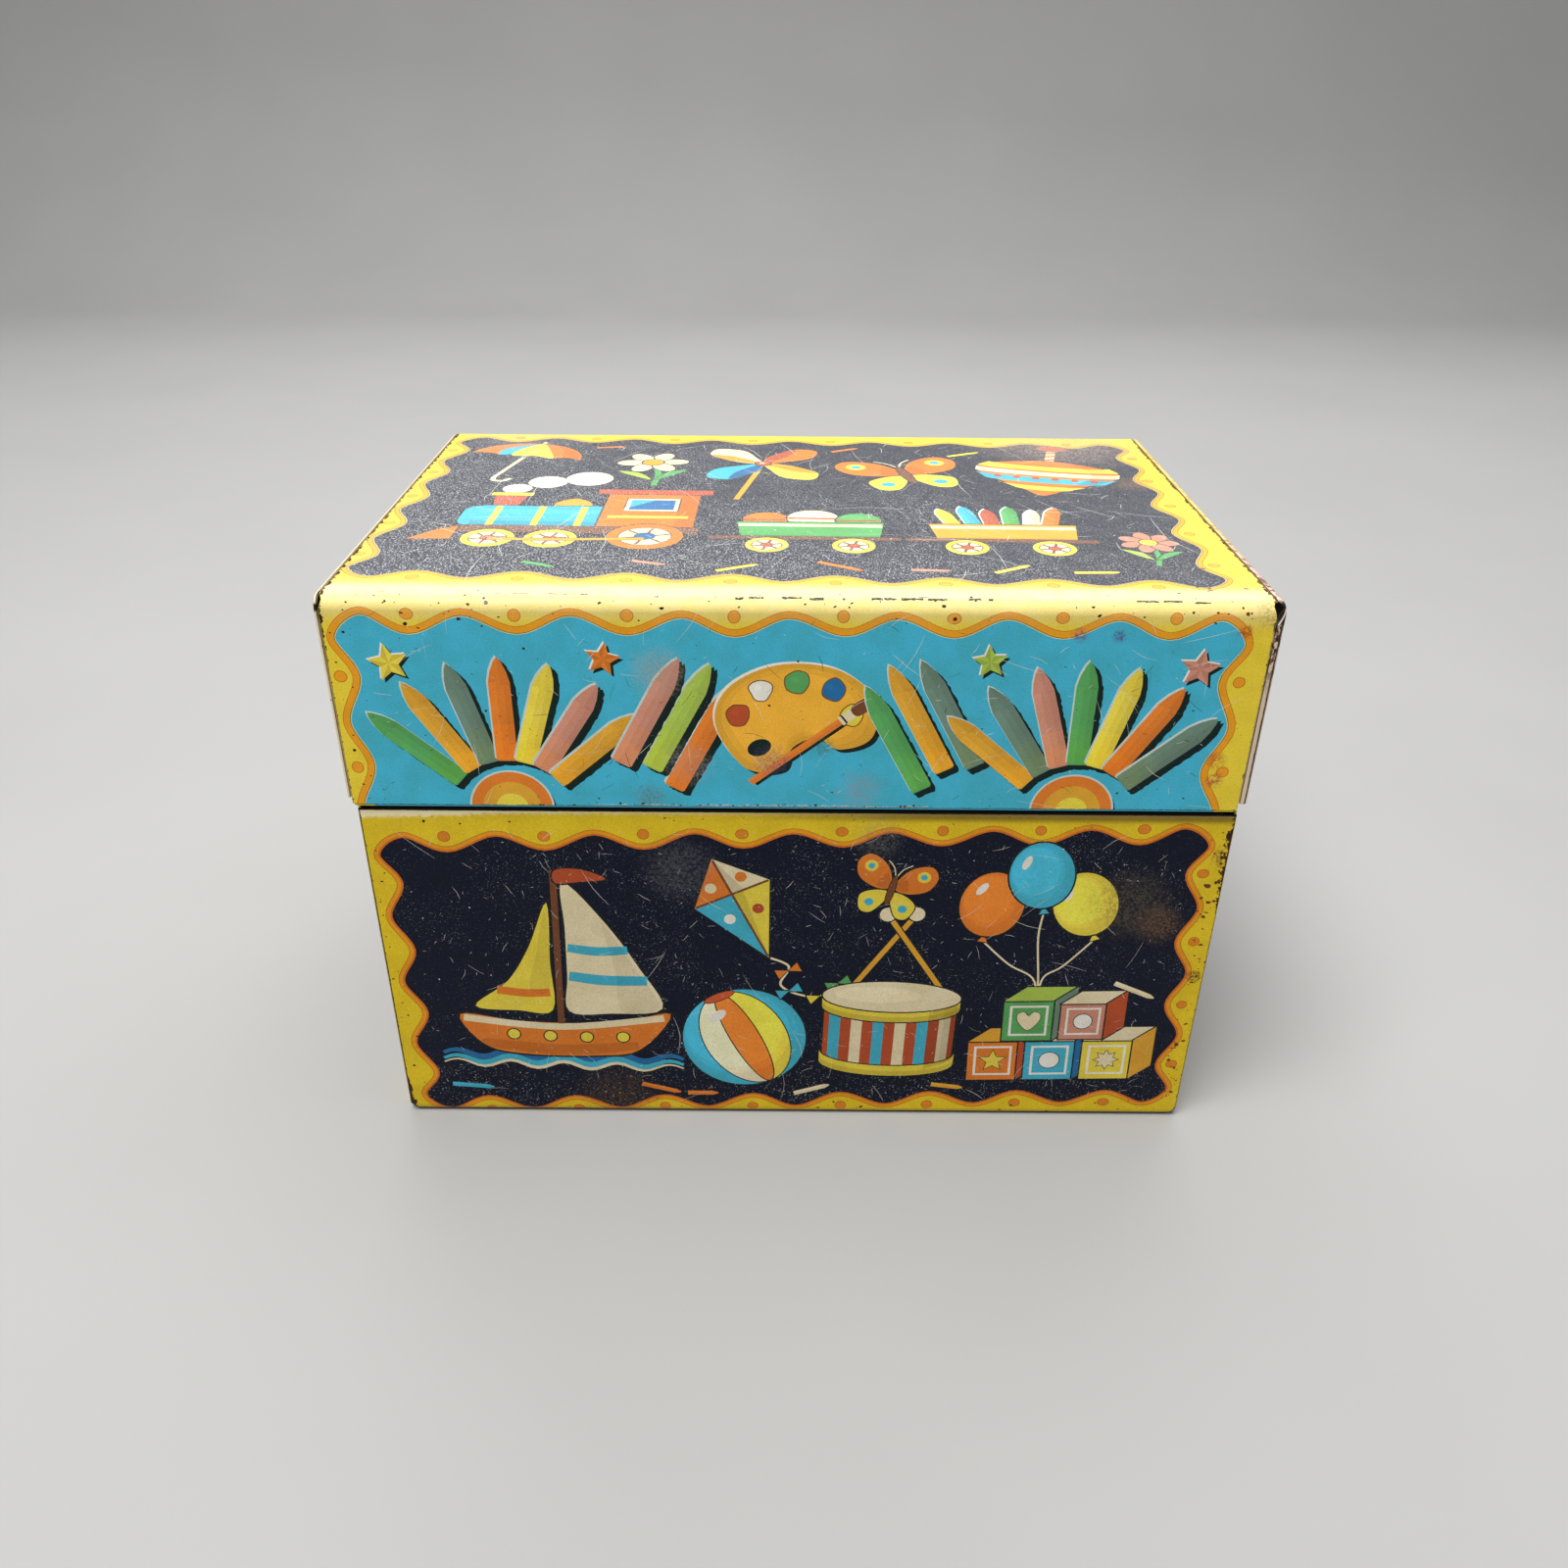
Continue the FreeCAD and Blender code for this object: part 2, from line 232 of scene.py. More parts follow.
def ribbon(points, width, taper=0.0):
    """Outline of a stroke along open points, thinner towards its ends by the share of taper."""
    p = np.array(points, float)
    share = np.linspace(-1, 1, len(p))
    half = width / 2 * (1 - taper * share ** 2)
    side = normals_of(p, closed=False) * half[:, None]
    return [tuple(q) for q in p + side] + [tuple(q) for q in (p - side)[::-1]]


def wavy(x0, x1, y, height, waves, steps=8):
    """Points along a wavy line."""
    count = int(waves * steps) + 1
    return [(x0 + (x1 - x0) * i / (count - 1), y + height * math.sin(2 * math.pi * waves * i / (count - 1)))
            for i in range(count)]


def outlined(ink, points, edge=0.26, edge_ink="line"):
    """A filled shape with a dark edge round it."""
    return [(edge_ink, grown(points, edge)), (ink, points)]


def placed(shapes, x=0.0, y=0.0, size=1.0, turn=0.0, mirror=False):
    """Shapes turned, sized and moved."""
    c, s = math.cos(math.radians(turn)) * size, math.sin(math.radians(turn)) * size
    flip = -1.0 if mirror else 1.0
    return [(ink, [(x + flip * u * c - v * s, y + flip * u * s + v * c) for u, v in points])
            for ink, points in shapes]


def roughened(points, amount, chance):
    """The outline with its points moved a little, as a coarse screen prints it."""
    return [(x + chance.uniform(-amount, amount), y + chance.uniform(-amount, amount)) for x, y in points]


def divided(points, pitch):
    """A closed outline with points added along its straight runs."""
    result = []
    for (x0, y0), (x1, y1) in zip(points, points[1:] + points[:1]):
        count = max(1, int(math.hypot(x1 - x0, y1 - y0) / pitch))
        result += [(x0 + (x1 - x0) * i / count, y0 + (y1 - y0) * i / count) for i in range(count)]
    return result


# Shades that darken what they lie on
SHADE = (0.78, 0.76, 0.74)
SOFT_SHADE = (0.88, 0.87, 0.86)
GLOW = (1.12, 1.12, 1.14)


def shaded(points, dx, dy, steps=2, size=1.0):
    """Crescents of shade on the side of a shape that lies opposite dx, dy: the lit middle is drawn as a glow."""
    centre = np.mean(np.array(points), axis=0)
    result = []
    for k in range(1, steps + 1):
        scale = 1 - 0.18 * k * size
        moved = [(centre[0] + (x - centre[0]) * scale + dx * k, centre[1] + (y - centre[1]) * scale + dy * k)
                 for x, y in points]
        result.append((GLOW, moved))
    return result


def crayon(x, y, turn, ink, length=17.0, width=3.1, chance=None):
    """Pointed wax crayon with a light upper edge and a thick rough shadow, seen from above."""
    half = width / 2
    tip = 0.24 * length
    nib = length / 2 - tip
    butt = 0.3
    outline = [(-length / 2 + butt, -half), (nib, -half), (nib + 0.45 * tip, -0.74 * half),
               (nib + 0.82 * tip, -0.34 * half), (length / 2, 0.0), (nib + 0.82 * tip, 0.34 * half),
               (nib + 0.45 * tip, 0.74 * half), (nib, half), (-length / 2 + butt, half),
               (-length / 2, half - butt), (-length / 2, butt - half)]
    drawn = placed([("body", outline)], x, y, turn=turn)[0][1]
    rough = drawn if chance is None else roughened(divided(drawn, 0.5), 0.09, chance)
    result = [("shadow", [(u + 0.41 * k, v - 0.38 * k) for u, v in rough]) for k in (2, 1)]
    result.append(("light", [(u - 0.24, v + 0.28) for u, v in drawn]))
    result.append((ink, drawn))
    warm, deep = (1.08, 1.03, 0.86), (0.9, 0.88, 0.92)
    details = [(warm, rectangle(-length / 2 + 0.3, -half, -0.3 * length, half)),
               (warm, rectangle(-length / 2 + 0.3, -half, -0.14 * length, half)),
               (deep, rectangle(-0.34 * length, -half, nib, -0.38 * half)),
               (deep, [(nib - 0.3, -half), (nib + 0.45 * tip, -0.74 * half), (nib + 0.82 * tip, -0.34 * half),
                       (length / 2, 0.0), (nib - 0.3, -0.1 * half)]),
               (GLOW, rectangle(-length / 2 + 0.3, 0.3 * half, nib, half))]
    return result + placed(details, x, y, turn=turn)


def stick(x, y, turn, ink, length=6.5, width=0.9):
    """Small loose crayon, far smaller than the others."""
    half = width / 2
    outline = [(-length / 2, -half), (length / 2 - 0.9, -half), (length / 2, -0.12), (length / 2, 0.12),
               (length / 2 - 0.9, half), (-length / 2, half)]
    body = placed([(ink, outline)], x, y, turn=turn)
    light = placed([(GLOW, rectangle(-length / 2, 0, length / 2 - 1.2, half))], x, y, turn=turn)
    return body + light


def fan(x, y, inks, reach, spread, length, lean=90.0, chance=None, width=3.1):
    """Crayons that spread from one point, with their tips outward."""
    result = []
    for i, ink in enumerate(inks):
        angle = lean + spread * (0.5 - i / (len(inks) - 1))
        a = math.radians(angle)
        result += crayon(x + reach * math.cos(a), y + reach * math.sin(a), angle, ink, length, width, chance)
    return result


def bundle(x, y, inks, turn, gap, length, chance=None, stagger=1.4):
    """Crayons side by side."""
    result = []
    a = math.radians(turn + 90)
    for i, ink in enumerate(inks):
        across = (i - (len(inks) - 1) / 2) * gap
        along = stagger * (i % 2)
        result += crayon(x + across * math.cos(a) + along * math.sin(a),
                         y + across * math.sin(a) - along * math.cos(a), turn, ink, length, chance=chance)
    return result


def rising_sun(x, y, radius=6.0):
    """Half disc with a light rim, for the middle of a fan."""
    disc = ellipse(0, 0, radius, radius, 0, 24, 0, 180)
    result = [("shadow", [(u + 0.6, v - 0.5) for u, v in disc]), ("light", grown(disc, 0.3)), ("tangerine", disc),
              ("gold", ellipse(0, 0, 0.72 * radius, 0.72 * radius, 0, 20, 0, 180)),
              ("lemon", ellipse(0, 0, 0.4 * radius, 0.4 * radius, 0, 16, 0, 180))]
    return placed(result, x, y)


def raised_star(x, y, size, ink, turn=90.0):
    """Star with a light and a dark side."""
    body = star(x, y, size, 0.46 * size, 5, turn)
    result = [("shadow", [(u + 0.4, v - 0.4) for u, v in body]), ("white", [(u - 0.2, v + 0.24) for u, v in body]),
              (ink, body)]
    for i in range(5):
        a, b = body[2 * i], body[2 * i + 1]
        result.append((SHADE, [(x, y), a, b]))
    return result


def palette(size=1.0):
    """Painter's palette with blobs of paint and a brush."""
    board = smooth([(-9.5, 0.5), (-7.5, 5.2), (-1.5, 7.6), (5.5, 6.4), (9.8, 2.0), (9.0, -3.0), (5.0, -4.2),
                    (2.4, -2.4), (-0.6, -3.4), (-2.2, -6.2), (-6.6, -5.6)], steps=7)
    result = [("shadow", [(u + 0.5, v - 0.5) for u, v in board]), ("white", [(u - 0.2, v + 0.3) for u, v in board]),
              ("gold", board)]
    result += shaded(board, -0.25, 0.3, 2, 0.6)
    result += [("shadow", ellipse(-4.6, -3.0, 1.5, 1.1, 20, 20))]
    for (u, v), ink in zip([(-6.6, 1.6), (-3.6, 4.6), (0.8, 5.2), (4.9, 3.8), (6.8, 0.2)],
                           ["brick", "white", "leaf", "deep", "lemon"]):
        blob = smooth(roughened(circle(u, v, 1.35, 9), 0.16, random.Random(int(u * 10 + 80))), steps=4)
        result += outlined(ink, blob, 0.14, "brown") + [(GLOW, circle(u - 0.35, v + 0.4, 0.45, 12))]
    brush = [("shadow", placed([("", rectangle(-8.5, -0.45, 5.2, 0.45))], 0.4, -0.4)[0][1]),
             ("tangerine", rectangle(-8.5, -0.45, 5.2, 0.45)), (GLOW, rectangle(-8.5, 0.0, 5.2, 0.45)),
             ("cream", rectangle(5.2, -0.65, 7.2, 0.65)), ("line", rectangle(5.6, -0.65, 5.85, 0.65)),
             ("brown", smooth([(7.2, -0.65), (9.0, -0.8), (10.6, 0.1), (9.0, 0.8), (7.2, 0.65)], steps=4))]
    return placed(result + placed(brush, 1.0, -3.2, turn=32), size=size)


def sailboat():
    """Toy boat with two sails on a strip of water."""
    result = []
    for ink, y, height in (("deep", -5.6, 1.3), ("sky", -6.5, 1.1), ("cream", -7.1, 0.5)):
        result.append((ink, ribbon(wavy(-15, 15, y, 0.55, 4.5), height, 0.6)))
    hull = smooth([(-12.4, 0.6), (-6, -0.1), (0, -0.3), (7, 0.0), (13.4, 1.6), (9.6, -4.2), (4, -5.4), (-5, -5.4),
                   (-9.8, -4.0)], steps=5)
    result += outlined("tangerine", hull)
    result += [(SHADE, ribbon(smooth([(-10.0, -3.7), (0, -4.6), (9.4, -3.6)], False), 1.7, 0.3)),
               ("cream", ribbon(smooth([(-12, 0.1), (0, -0.9), (12.6, 0.9)], False), 1.0))]
    for u in (-6, -1.5, 3, 7.5):
        result += outlined("lemon", circle(u, -2.5 + 0.1 * abs(u - 1) / 3, 0.75, 16), 0.16)
    result.append(("brown", rectangle(-0.45, -0.4, 0.35, 22.2)))
    main = smooth([(1.0, 20.5), (1.0, 14), (1.0, 7), (1.0, 1.6), (6, 1.4), (12.4, 2.4), (9.6, 8.6), (5.6, 15.2)],
                  steps=5)
    result += outlined("cream", main)
    result += [("sky", ribbon(smooth([(1.2, 7.0), (5.4, 6.5), (10.6, 6.6)], False), 1.5, 0.1)),
               ("sky", ribbon(smooth([(1.2, 11.2), (4.6, 10.8), (8.3, 11.1)], False), 1.3, 0.1)),
               (SOFT_SHADE, smooth([(7.5, 1.7), (12.0, 2.6), (9.3, 8.2), (5.4, 14.8), (6.8, 8)], steps=5))]
    jib = smooth([(-1.0, 17.6), (-3.4, 11.2), (-6.2, 6.0), (-10.4, 2.0), (-5.2, 1.5), (-1.0, 1.7), (-1.0, 9)],
                 steps=5)
    result += outlined("lemon", jib)
    result += [("tangerine", ribbon(smooth([(-7.6, 4.6), (-4.2, 4.2), (-1.2, 4.4)], False), 1.2)),
               (SOFT_SHADE, smooth([(-1.2, 16.4), (-2.6, 10.0), (-3.6, 5.0), (-1.2, 5.2)], steps=5))]
    result += outlined("brick", smooth([(0.2, 22.2), (3.2, 22.4), (6.0, 21.2), (3.0, 20.7), (0.2, 20.4)], steps=4),
                       0.2)
    return result


def striped_ball(radius=9.0, turn=24.0, inks=("sky", "cream", "tangerine", "lemon")):
    """Beach ball in gores."""
    rim = circle(0, 0, radius, 44)
    result = [("line", grown(rim, 0.28)), (inks[0], rim)]
    edges = [-1.0, -0.66, -0.22, 0.26, 0.7, 1.0]
    for i, (a, b) in enumerate(zip(edges, edges[1:])):
        left = [(a * radius * math.sin(t), radius * math.cos(t)) for t in np.linspace(0, math.pi, 22)]
        right = [(b * radius * math.sin(t), radius * math.cos(t)) for t in np.linspace(math.pi, 0, 22)]
        result.append((inks[i % len(inks)], left + right[1:-1]))
        if i:
            result.append(("line", ribbon(left, 0.2)))
    result += outlined("brick", ellipse(0, 0.93 * radius, 0.26 * radius, 0.07 * radius, 0, 20), 0.14)
    result = placed(result, turn=turn)
    for k in (1, 2, 3):
        scale = 1 - 0.07 * k
        shade = ellipse(0.1 * radius * k / 3, -0.1 * radius * k / 3, radius, radius, 0, 44)
        lit = [(u * scale - 0.055 * radius * k, v * scale + 0.055 * radius * k) for u, v in rim]
        result.append((GLOW if k > 1 else (1.06, 1.06, 1.06), lit))
    result.append(("white", ellipse(-0.42 * radius, 0.46 * radius, 0.17 * radius, 0.09 * radius, 42, 18)))
    return result


def kite():
    """Diamond kite with a tail of bows."""
    top, left, right, low, middle = (0, 10.5), (-6.6, 3.2), (6.6, 3.2), (0, -10.5), (0, 3.2)
    tail = smooth([(0, -10.5), (2.2, -13.6), (-0.6, -16.4), (1.6, -19.8), (5.2, -21.4), (8.4, -20.0)], False, 8)
    result = [("cream", ribbon(tail, 0.4))]
    for index, ink in ((10, "tangerine"), (20, "sky"), (30, "lemon"), (39, "leaf")):
        x, y = tail[index]
        bow = [(x, y), (x - 2.0, y + 1.0), (x - 2.0, y - 0.9), (x, y), (x + 2.0, y + 0.9), (x + 2.0, y - 1.0)]
        result += [("line", grown([(x, y + 0.1), (x - 2.0, y + 1.0), (x - 2.0, y - 0.9)], 0.18)),
                   ("line", grown([(x, y - 0.1), (x + 2.0, y + 0.9), (x + 2.0, y - 1.0)], 0.18)), (ink, bow)]
    result.append(("line", grown([top, left, low, right], 0.3)))
    for ink, points in (("tangerine", [top, left, middle]), ("cream", [top, middle, right]),
                        ("sky", [left, low, middle]), ("lemon", [middle, low, right])):
        result.append((ink, points))
    result += [(SHADE, [(0, 10.5), (0, 3.2), (2.2, 3.2)]), (SHADE, [(0, 3.2), (0, -10.5), (1.9, 3.2)]),
               ("brown", rectangle(-0.2, -10.2, 0.2, 10.2)), ("brown", rectangle(-6.4, 3.0, 6.4, 3.4))]
    for x, y, ink in ((-2.6, 5.6, "cream"), (2.7, 5.6, "tangerine"), (-2.4, -1.0, "white"), (2.6, -1.0, "brick")):
        result.append((ink, circle(x, y, 0.95, 16)))
    return result


def drum():
    """Toy drum with two sticks."""
    result = []
    for lean, x in ((58, -4.5), (124, 5.5)):
        a = math.radians(lean)
        result += outlined("gold", placed([("", rectangle(-7.5, -0.38, 7.5, 0.38))], x + 5 * math.cos(a),
                                          10.2 + 3.2 * math.sin(a), turn=lean)[0][1], 0.2)
        result += outlined("cream", circle(x + 5 * math.cos(a) + 7.8 * math.cos(a),
                                           10.2 + 3.2 * math.sin(a) + 7.8 * math.sin(a), 1.15, 16), 0.2)
    side = [(-9.5, 5.5)] + ellipse(0, -6.5, 9.5, 2.6, 0, 16, 180, 180) + [(9.5, 5.5)]
    result += outlined("brick", side)
    for i in range(6):
        a, b = -0.92 + 0.335 * i, -0.75 + 0.335 * i
        result.append(("cream" if i % 2 else "sky",
                       [(9.5 * a, 5.2 - 2.6 * math.sqrt(1 - a * a)), (9.5 * b, 5.2 - 2.6 * math.sqrt(1 - b * b)),
                        (9.5 * b, -6.3 - 2.6 * math.sqrt(1 - b * b)), (9.5 * a, -6.3 - 2.6 * math.sqrt(1 - a * a))]))
    for level in (5.0, -5.2):
        upper = ellipse(0, level, 9.9, 2.7, 0, 18, 180, 180)
        lower = [(u, v - 1.9) for u, v in upper[::-1]]
        result += outlined("lemon", upper + lower, 0.2)
        result.append((SHADE, [(u, v - 1.0) for u, v in upper] + lower))
    head = ellipse(0, 5.0, 9.9, 2.7, 0, 36)
    result += outlined("cream", head, 0.22) + [(GLOW, ellipse(-2.0, 5.3, 6.2, 1.4, 0, 26))]
    result += [(SHADE, [(5.6, 2.6), (9.6, 4.0), (9.6, -6.4), (5.6, -8.4)]),
               (SOFT_SHADE, [(7.8, 3.4), (9.8, 4.4), (9.8, -6.2), (7.8, -7.6)])]
    return result


def cube(x, y, side, ink, top_ink, side_ink, mark):
    """Toy block seen from a little above and to the right, with a mark on its front."""
    dx, dy = 0.42 * side, 0.34 * side
    front = rectangle(x, y, x + side, y + side)
    upper = [(x, y + side), (x + side, y + side), (x + side + dx, y + side + dy), (x + dx, y + side + dy)]
    right = [(x + side, y), (x + side + dx, y + dy), (x + side + dx, y + side + dy), (x + side, y + side)]
    result = outlined(ink, front) + outlined(top_ink, upper) + outlined(side_ink, right)
    result += [("white", rectangle(x + 0.12 * side, y + 0.12 * side, x + 0.88 * side, y + 0.88 * side)),
               (ink, rectangle(x + 0.17 * side, y + 0.17 * side, x + 0.83 * side, y + 0.83 * side))]
    middle = (x + side / 2, y + side / 2)
    if mark == "disc":
        result += outlined("white", circle(*middle, 0.2 * side, 20), 0.15)
    elif mark == "star":
        result += outlined("lemon", star(*middle, 0.27 * side, 0.12 * side, 5), 0.12)
    elif mark == "heart":
        heart = smooth([(0, -0.24), (-0.2, -0.02), (-0.22, 0.16), (-0.1, 0.22), (0, 0.12), (0.1, 0.22),
                        (0.22, 0.16), (0.2, -0.02)], steps=4)
        result += outlined("cream", placed([("", heart)], *middle, size=side)[0][1], 0.12)
    else:
        result += outlined("cream", star(*middle, 0.24 * side, 0.14 * side, 8), 0.12)
    return result


def blocks():
    """Five toy blocks, stacked."""
    result = cube(-11.5, -8, 8.5, "tangerine", "gold", "brick", "star")
    result += cube(-1.8, -8, 8.5, "sky", "cream", "deep", "disc")
    result += cube(7.9, -8, 8.5, "lemon", "cream", "gold", "flower")
    result += cube(-6.0, 0.7, 8.5, "leaf", "lime", "sage", "heart")
    result += cube(3.6, 0.9, 7.6, "rose", "cream", "brick", "disc")
    return result


def balloons():
    """Three balloons with strings that meet."""
    result = []
    knot = (0.5, -13)
    for x, y, ink, lean in ((-6.2, 4.2, "tangerine", 12), (0.6, 8.6, "sky", -4), (6.8, 3.4, "lemon", -14)):
        string = smooth([(x - 0.1 * lean, y - 6.2), (0.6 * x, y - 10.5), (knot[0] + 0.12 * x, knot[1] + 4), knot],
                        False, 5)
        result.append(("cream", ribbon(string, 0.28)))
    for x, y, ink, lean in ((-6.2, 4.2, "tangerine", 12), (6.8, 3.4, "lemon", -14), (0.6, 8.6, "sky", -4)):
        skin = ellipse(0, 0, 4.5, 5.4, 0, 34)
        shape = outlined(ink, [(-0.7, -6.4), (0.7, -6.4), (0, -5.2)], 0.18) + outlined(ink, skin)
        for k in (1, 2, 3):
            shape.append((GLOW if k > 1 else (1.05, 1.05, 1.05),
                          [(u * (1 - 0.09 * k) - 0.26 * k, v * (1 - 0.09 * k) + 0.26 * k) for u, v in skin]))
        shape.append(("white", ellipse(-1.9, 2.4, 0.55, 1.2, -30, 14)))
        result += placed(shape, x, y, turn=-lean)
    result += outlined("brick", placed([("", [(0, 0), (-2, 1.1), (-2, -1.1), (0, 0), (2, 1.1), (2, -1.1)])],
                                       *knot)[0][1], 0.02)
    return result


def spinning_top():
    """Humming top with bands and a twisted spindle."""
    body = smooth([(0, -11), (-3.2, -7.8), (-8.8, -2.2), (-10.6, 1.6), (-8.2, 4.6), (-3.2, 6.6), (0, 7.0), (3.2, 6.6),
                   (8.2, 4.6), (10.6, 1.6), (8.8, -2.2), (3.2, -7.8)], steps=5)
    result = outlined("cream", rectangle(-0.7, 6.5, 0.7, 13.5), 0.22)
    result += [("tangerine", [(-0.7, v), (0.7, v + 0.7), (0.7, v + 1.5), (-0.7, v + 0.8)])
               for v in (7.2, 9.2, 11.2)]
    result += outlined("brick", ellipse(0, 14.4, 2.4, 1.5, 0, 22), 0.22) + outlined("tangerine", body)
    for y0, y1, ink in ((3.0, 5.1, "lemon"), (0.2, 2.2, "cream"), (-3.4, -0.8, "sky"), (-7.2, -5.2, "lemon")):
        half0, half1 = [next(max(abs(u) for u, w in body if abs(w - v) < 1.2) for _ in (0,)) for v in (y0, y1)]
        low = ellipse(0, y0, half0, 1.3, 0, 16, 180, 180)
        high = ellipse(0, y1, half1, 1.3, 0, 16, 0, -180)
        result.append((ink, low + high))
    result += [("brick", circle(u, -1.95 - 0.016 * (100 - u * u) ** 0.5 * 4, 0.6, 14)) for u in (-7, -4.2, -1.4, 1.4, 4.2, 7)]
    result += [(SHADE, smooth([(3.4, 6.4), (8.2, 4.5), (10.5, 1.6), (8.7, -2.3), (3.2, -7.8), (0.4, -10.8),
                               (5.2, -3.4), (6.6, 1.4)], steps=5)),
               (GLOW, smooth([(-6.8, 3.8), (-8.6, 1.2), (-7.0, -1.8), (-5.4, -0.6), (-5.2, 2.6)], steps=5))]
    return result


def pinwheel():
    """Paper windmill on a stick."""
    result = outlined("gold", rectangle(-0.42, -19, 0.42, 0), 0.2)
    inks = (("tangerine", "brick"), ("cream", "gold"), ("sky", "deep"), ("lemon", "gold"))
    for i, (ink, inner) in enumerate(inks):
        vane = smooth([(0, 0), (3.2, 1.0), (7.4, 3.0), (8.6, 7.2), (5.4, 8.4), (2.6, 6.2), (0.6, 3.2)], steps=5)
        fold = smooth([(0, 0), (0.8, 3.2), (2.6, 6.2), (5.2, 8.2), (4.4, 5.0), (2.6, 2.6)], steps=5)
        result += placed(outlined(ink, vane, 0.24) + [(inner, fold), (SOFT_SHADE, fold)], turn=90 * i + 12)
    return result + outlined("brick", circle(0, 0, 1.2, 18), 0.22) + [("cream", circle(-0.3, 0.35, 0.4, 12))]


def butterfly():
    """Butterfly with open wings."""
    result = []
    for flip in (False, True):
        upper = smooth([(0.3, 1.0), (2.2, 5.4), (6.0, 7.2), (8.0, 5.0), (6.8, 1.6), (3.0, 0.0)], steps=5)
        lower = smooth([(0.3, -0.4), (3.2, -0.6), (5.6, -2.4), (4.8, -5.6), (2.6, -5.8), (0.8, -3.0)], steps=5)
        wing = outlined("tangerine", upper, 0.24) + outlined("lemon", lower, 0.24)
        wing += [("lemon", circle(5.3, 4.6, 1.3, 16)), ("sky", circle(5.3, 4.6, 0.65, 12)),
                 ("sky", circle(3.4, -3.6, 0.9, 14)), (SHADE, smooth([(0.4, 0.8), (1.8, 3.8), (3.2, 0.6)], steps=4))]
        result += placed(wing, mirror=flip)
    feelers = [("cream", ribbon(smooth([(0, 3), (0.9 * w, 5.2), (2.4 * w, 6.6)], False), 0.22)) for w in (-1, 1)]
    return result + feelers + outlined("brown", ellipse(0, 0, 0.65, 3.6, 0, 18), 0.15)


def flower(ink="cream", heart="gold", petals=6, size=1.0, stem=8.0):
    """Flower on a stem with two leaves."""
    result = []
    if stem:
        result.append(("leaf", ribbon(smooth([(0, 0), (0.5, -stem / 2), (0, -stem)], False), 0.6)))
        for w in (-1, 1):
            leaf = smooth([(0.2 * w, -0.75 * stem), (1.6 * w, -0.62 * stem), (3.4 * w, -0.36 * stem),
                           (1.4 * w, -0.46 * stem)], steps=4)
            result += outlined("lime" if w < 0 else "leaf", leaf, 0.14)
    for i in range(petals):
        a = 360.0 * i / petals
        petal = ellipse(2.1 * math.cos(math.radians(a)), 2.1 * math.sin(math.radians(a)), 1.5, 0.95, a, 16)
        result += outlined(ink, petal, 0.16)
    return placed(result + outlined(heart, circle(0, 0, 1.05, 16), 0.16), size=size)


def wheel(x, y, radius, ink="lemon", hub="brick"):
    """Toy wheel with a rim and a hub."""
    result = outlined(ink, circle(x, y, radius, 30)) + outlined("cream", circle(x, y, 0.68 * radius, 26), 0.16)
    for i in range(6):
        a = math.radians(60 * i + 15)
        spoke = ribbon([(x, y), (x + 0.66 * radius * math.cos(a), y + 0.66 * radius * math.sin(a))], 0.4)
        result.append(("brown", spoke))
    return result + outlined(hub, circle(x, y, 0.26 * radius, 16), 0.14)


def engine():
    """Toy steam engine that faces left."""
    result = []
    for x, y, r in ((-13.0, 19.5, 2.2), (-9.0, 23.0, 3.0), (-3.0, 25.0, 3.6)):
        result += outlined("cream", circle(x, y, r, 26), 0.2)
    for x, y, r in ((-13.0, 19.5, 2.2), (-9.0, 23.0, 3.0), (-3.0, 25.0, 3.6)):
        result += [("white", circle(x, y, 0.97 * r, 26)), (SOFT_SHADE, ellipse(x + 0.2 * r, y - 0.4 * r, 0.7 * r,
                                                                               0.45 * r, 0, 20))]
    result += outlined("brick", [(-14.8, 10.5), (-11.4, 10.5), (-10.6, 16.4), (-15.6, 16.4)])
    result += outlined("lemon", rectangle(-16.2, 16.0, -10.0, 17.4), 0.2)
    result += outlined("gold", smooth([(-5.6, 10.6), (-5.8, 13.0), (-3.4, 14.8), (-1.0, 13.0), (-1.2, 10.6)], steps=4))
    boiler = smooth([(-17.0, 2.2), (-18.4, 6.4), (-17.0, 10.8), (-8, 11.0), (1.5, 11.0), (2.2, 6.5), (1.5, 2.0),
                     (-8, 2.0)], steps=6)
    result += outlined("sky", boiler)
    result += [(GLOW, rectangle(-16.2, 7.8, 1.4, 9.4)), (SHADE, rectangle(-16.6, 2.4, 1.6, 4.2))]
    result += [("lemon", rectangle(x, 2.1, x + 1.0, 10.9)) for x in (-14.2, -8.0, -2.0)]
    result += outlined("tangerine", rectangle(1.2, 0.4, 14.6, 17.6))
    result += outlined("cream", rectangle(4.2, 9.4, 11.8, 15.2), 0.2) + [("deep", rectangle(4.8, 10.0, 11.2, 14.6))]
    result += [("sky", [(4.8, 14.6), (8.4, 14.6), (4.8, 11.0)]), (SHADE, rectangle(11.9, 0.4, 14.6, 17.6)),
               ("lemon", rectangle(2.2, 6.2, 13.6, 7.2))]
    result += outlined("brick", rectangle(-0.6, 17.4, 16.4, 19.6))
    result += outlined("brown", rectangle(-17.5, -0.6, 15.4, 2.2), 0.2)
    result += outlined("tangerine", [(-17.6, 1.8), (-17.6, -3.6), (-23.4, -3.8), (-20.2, 0.2)], 0.22)
    result += wheel(-12.6, -3.0, 3.6) + wheel(-4.2, -3.0, 3.6) + wheel(8.4, -1.6, 5.2, "tangerine", "deep")
    result += outlined("gold", ribbon([(-12.6, -3.4), (-4.2, -3.4), (8.4, -2.6)], 0.9), 0.14)
    return result


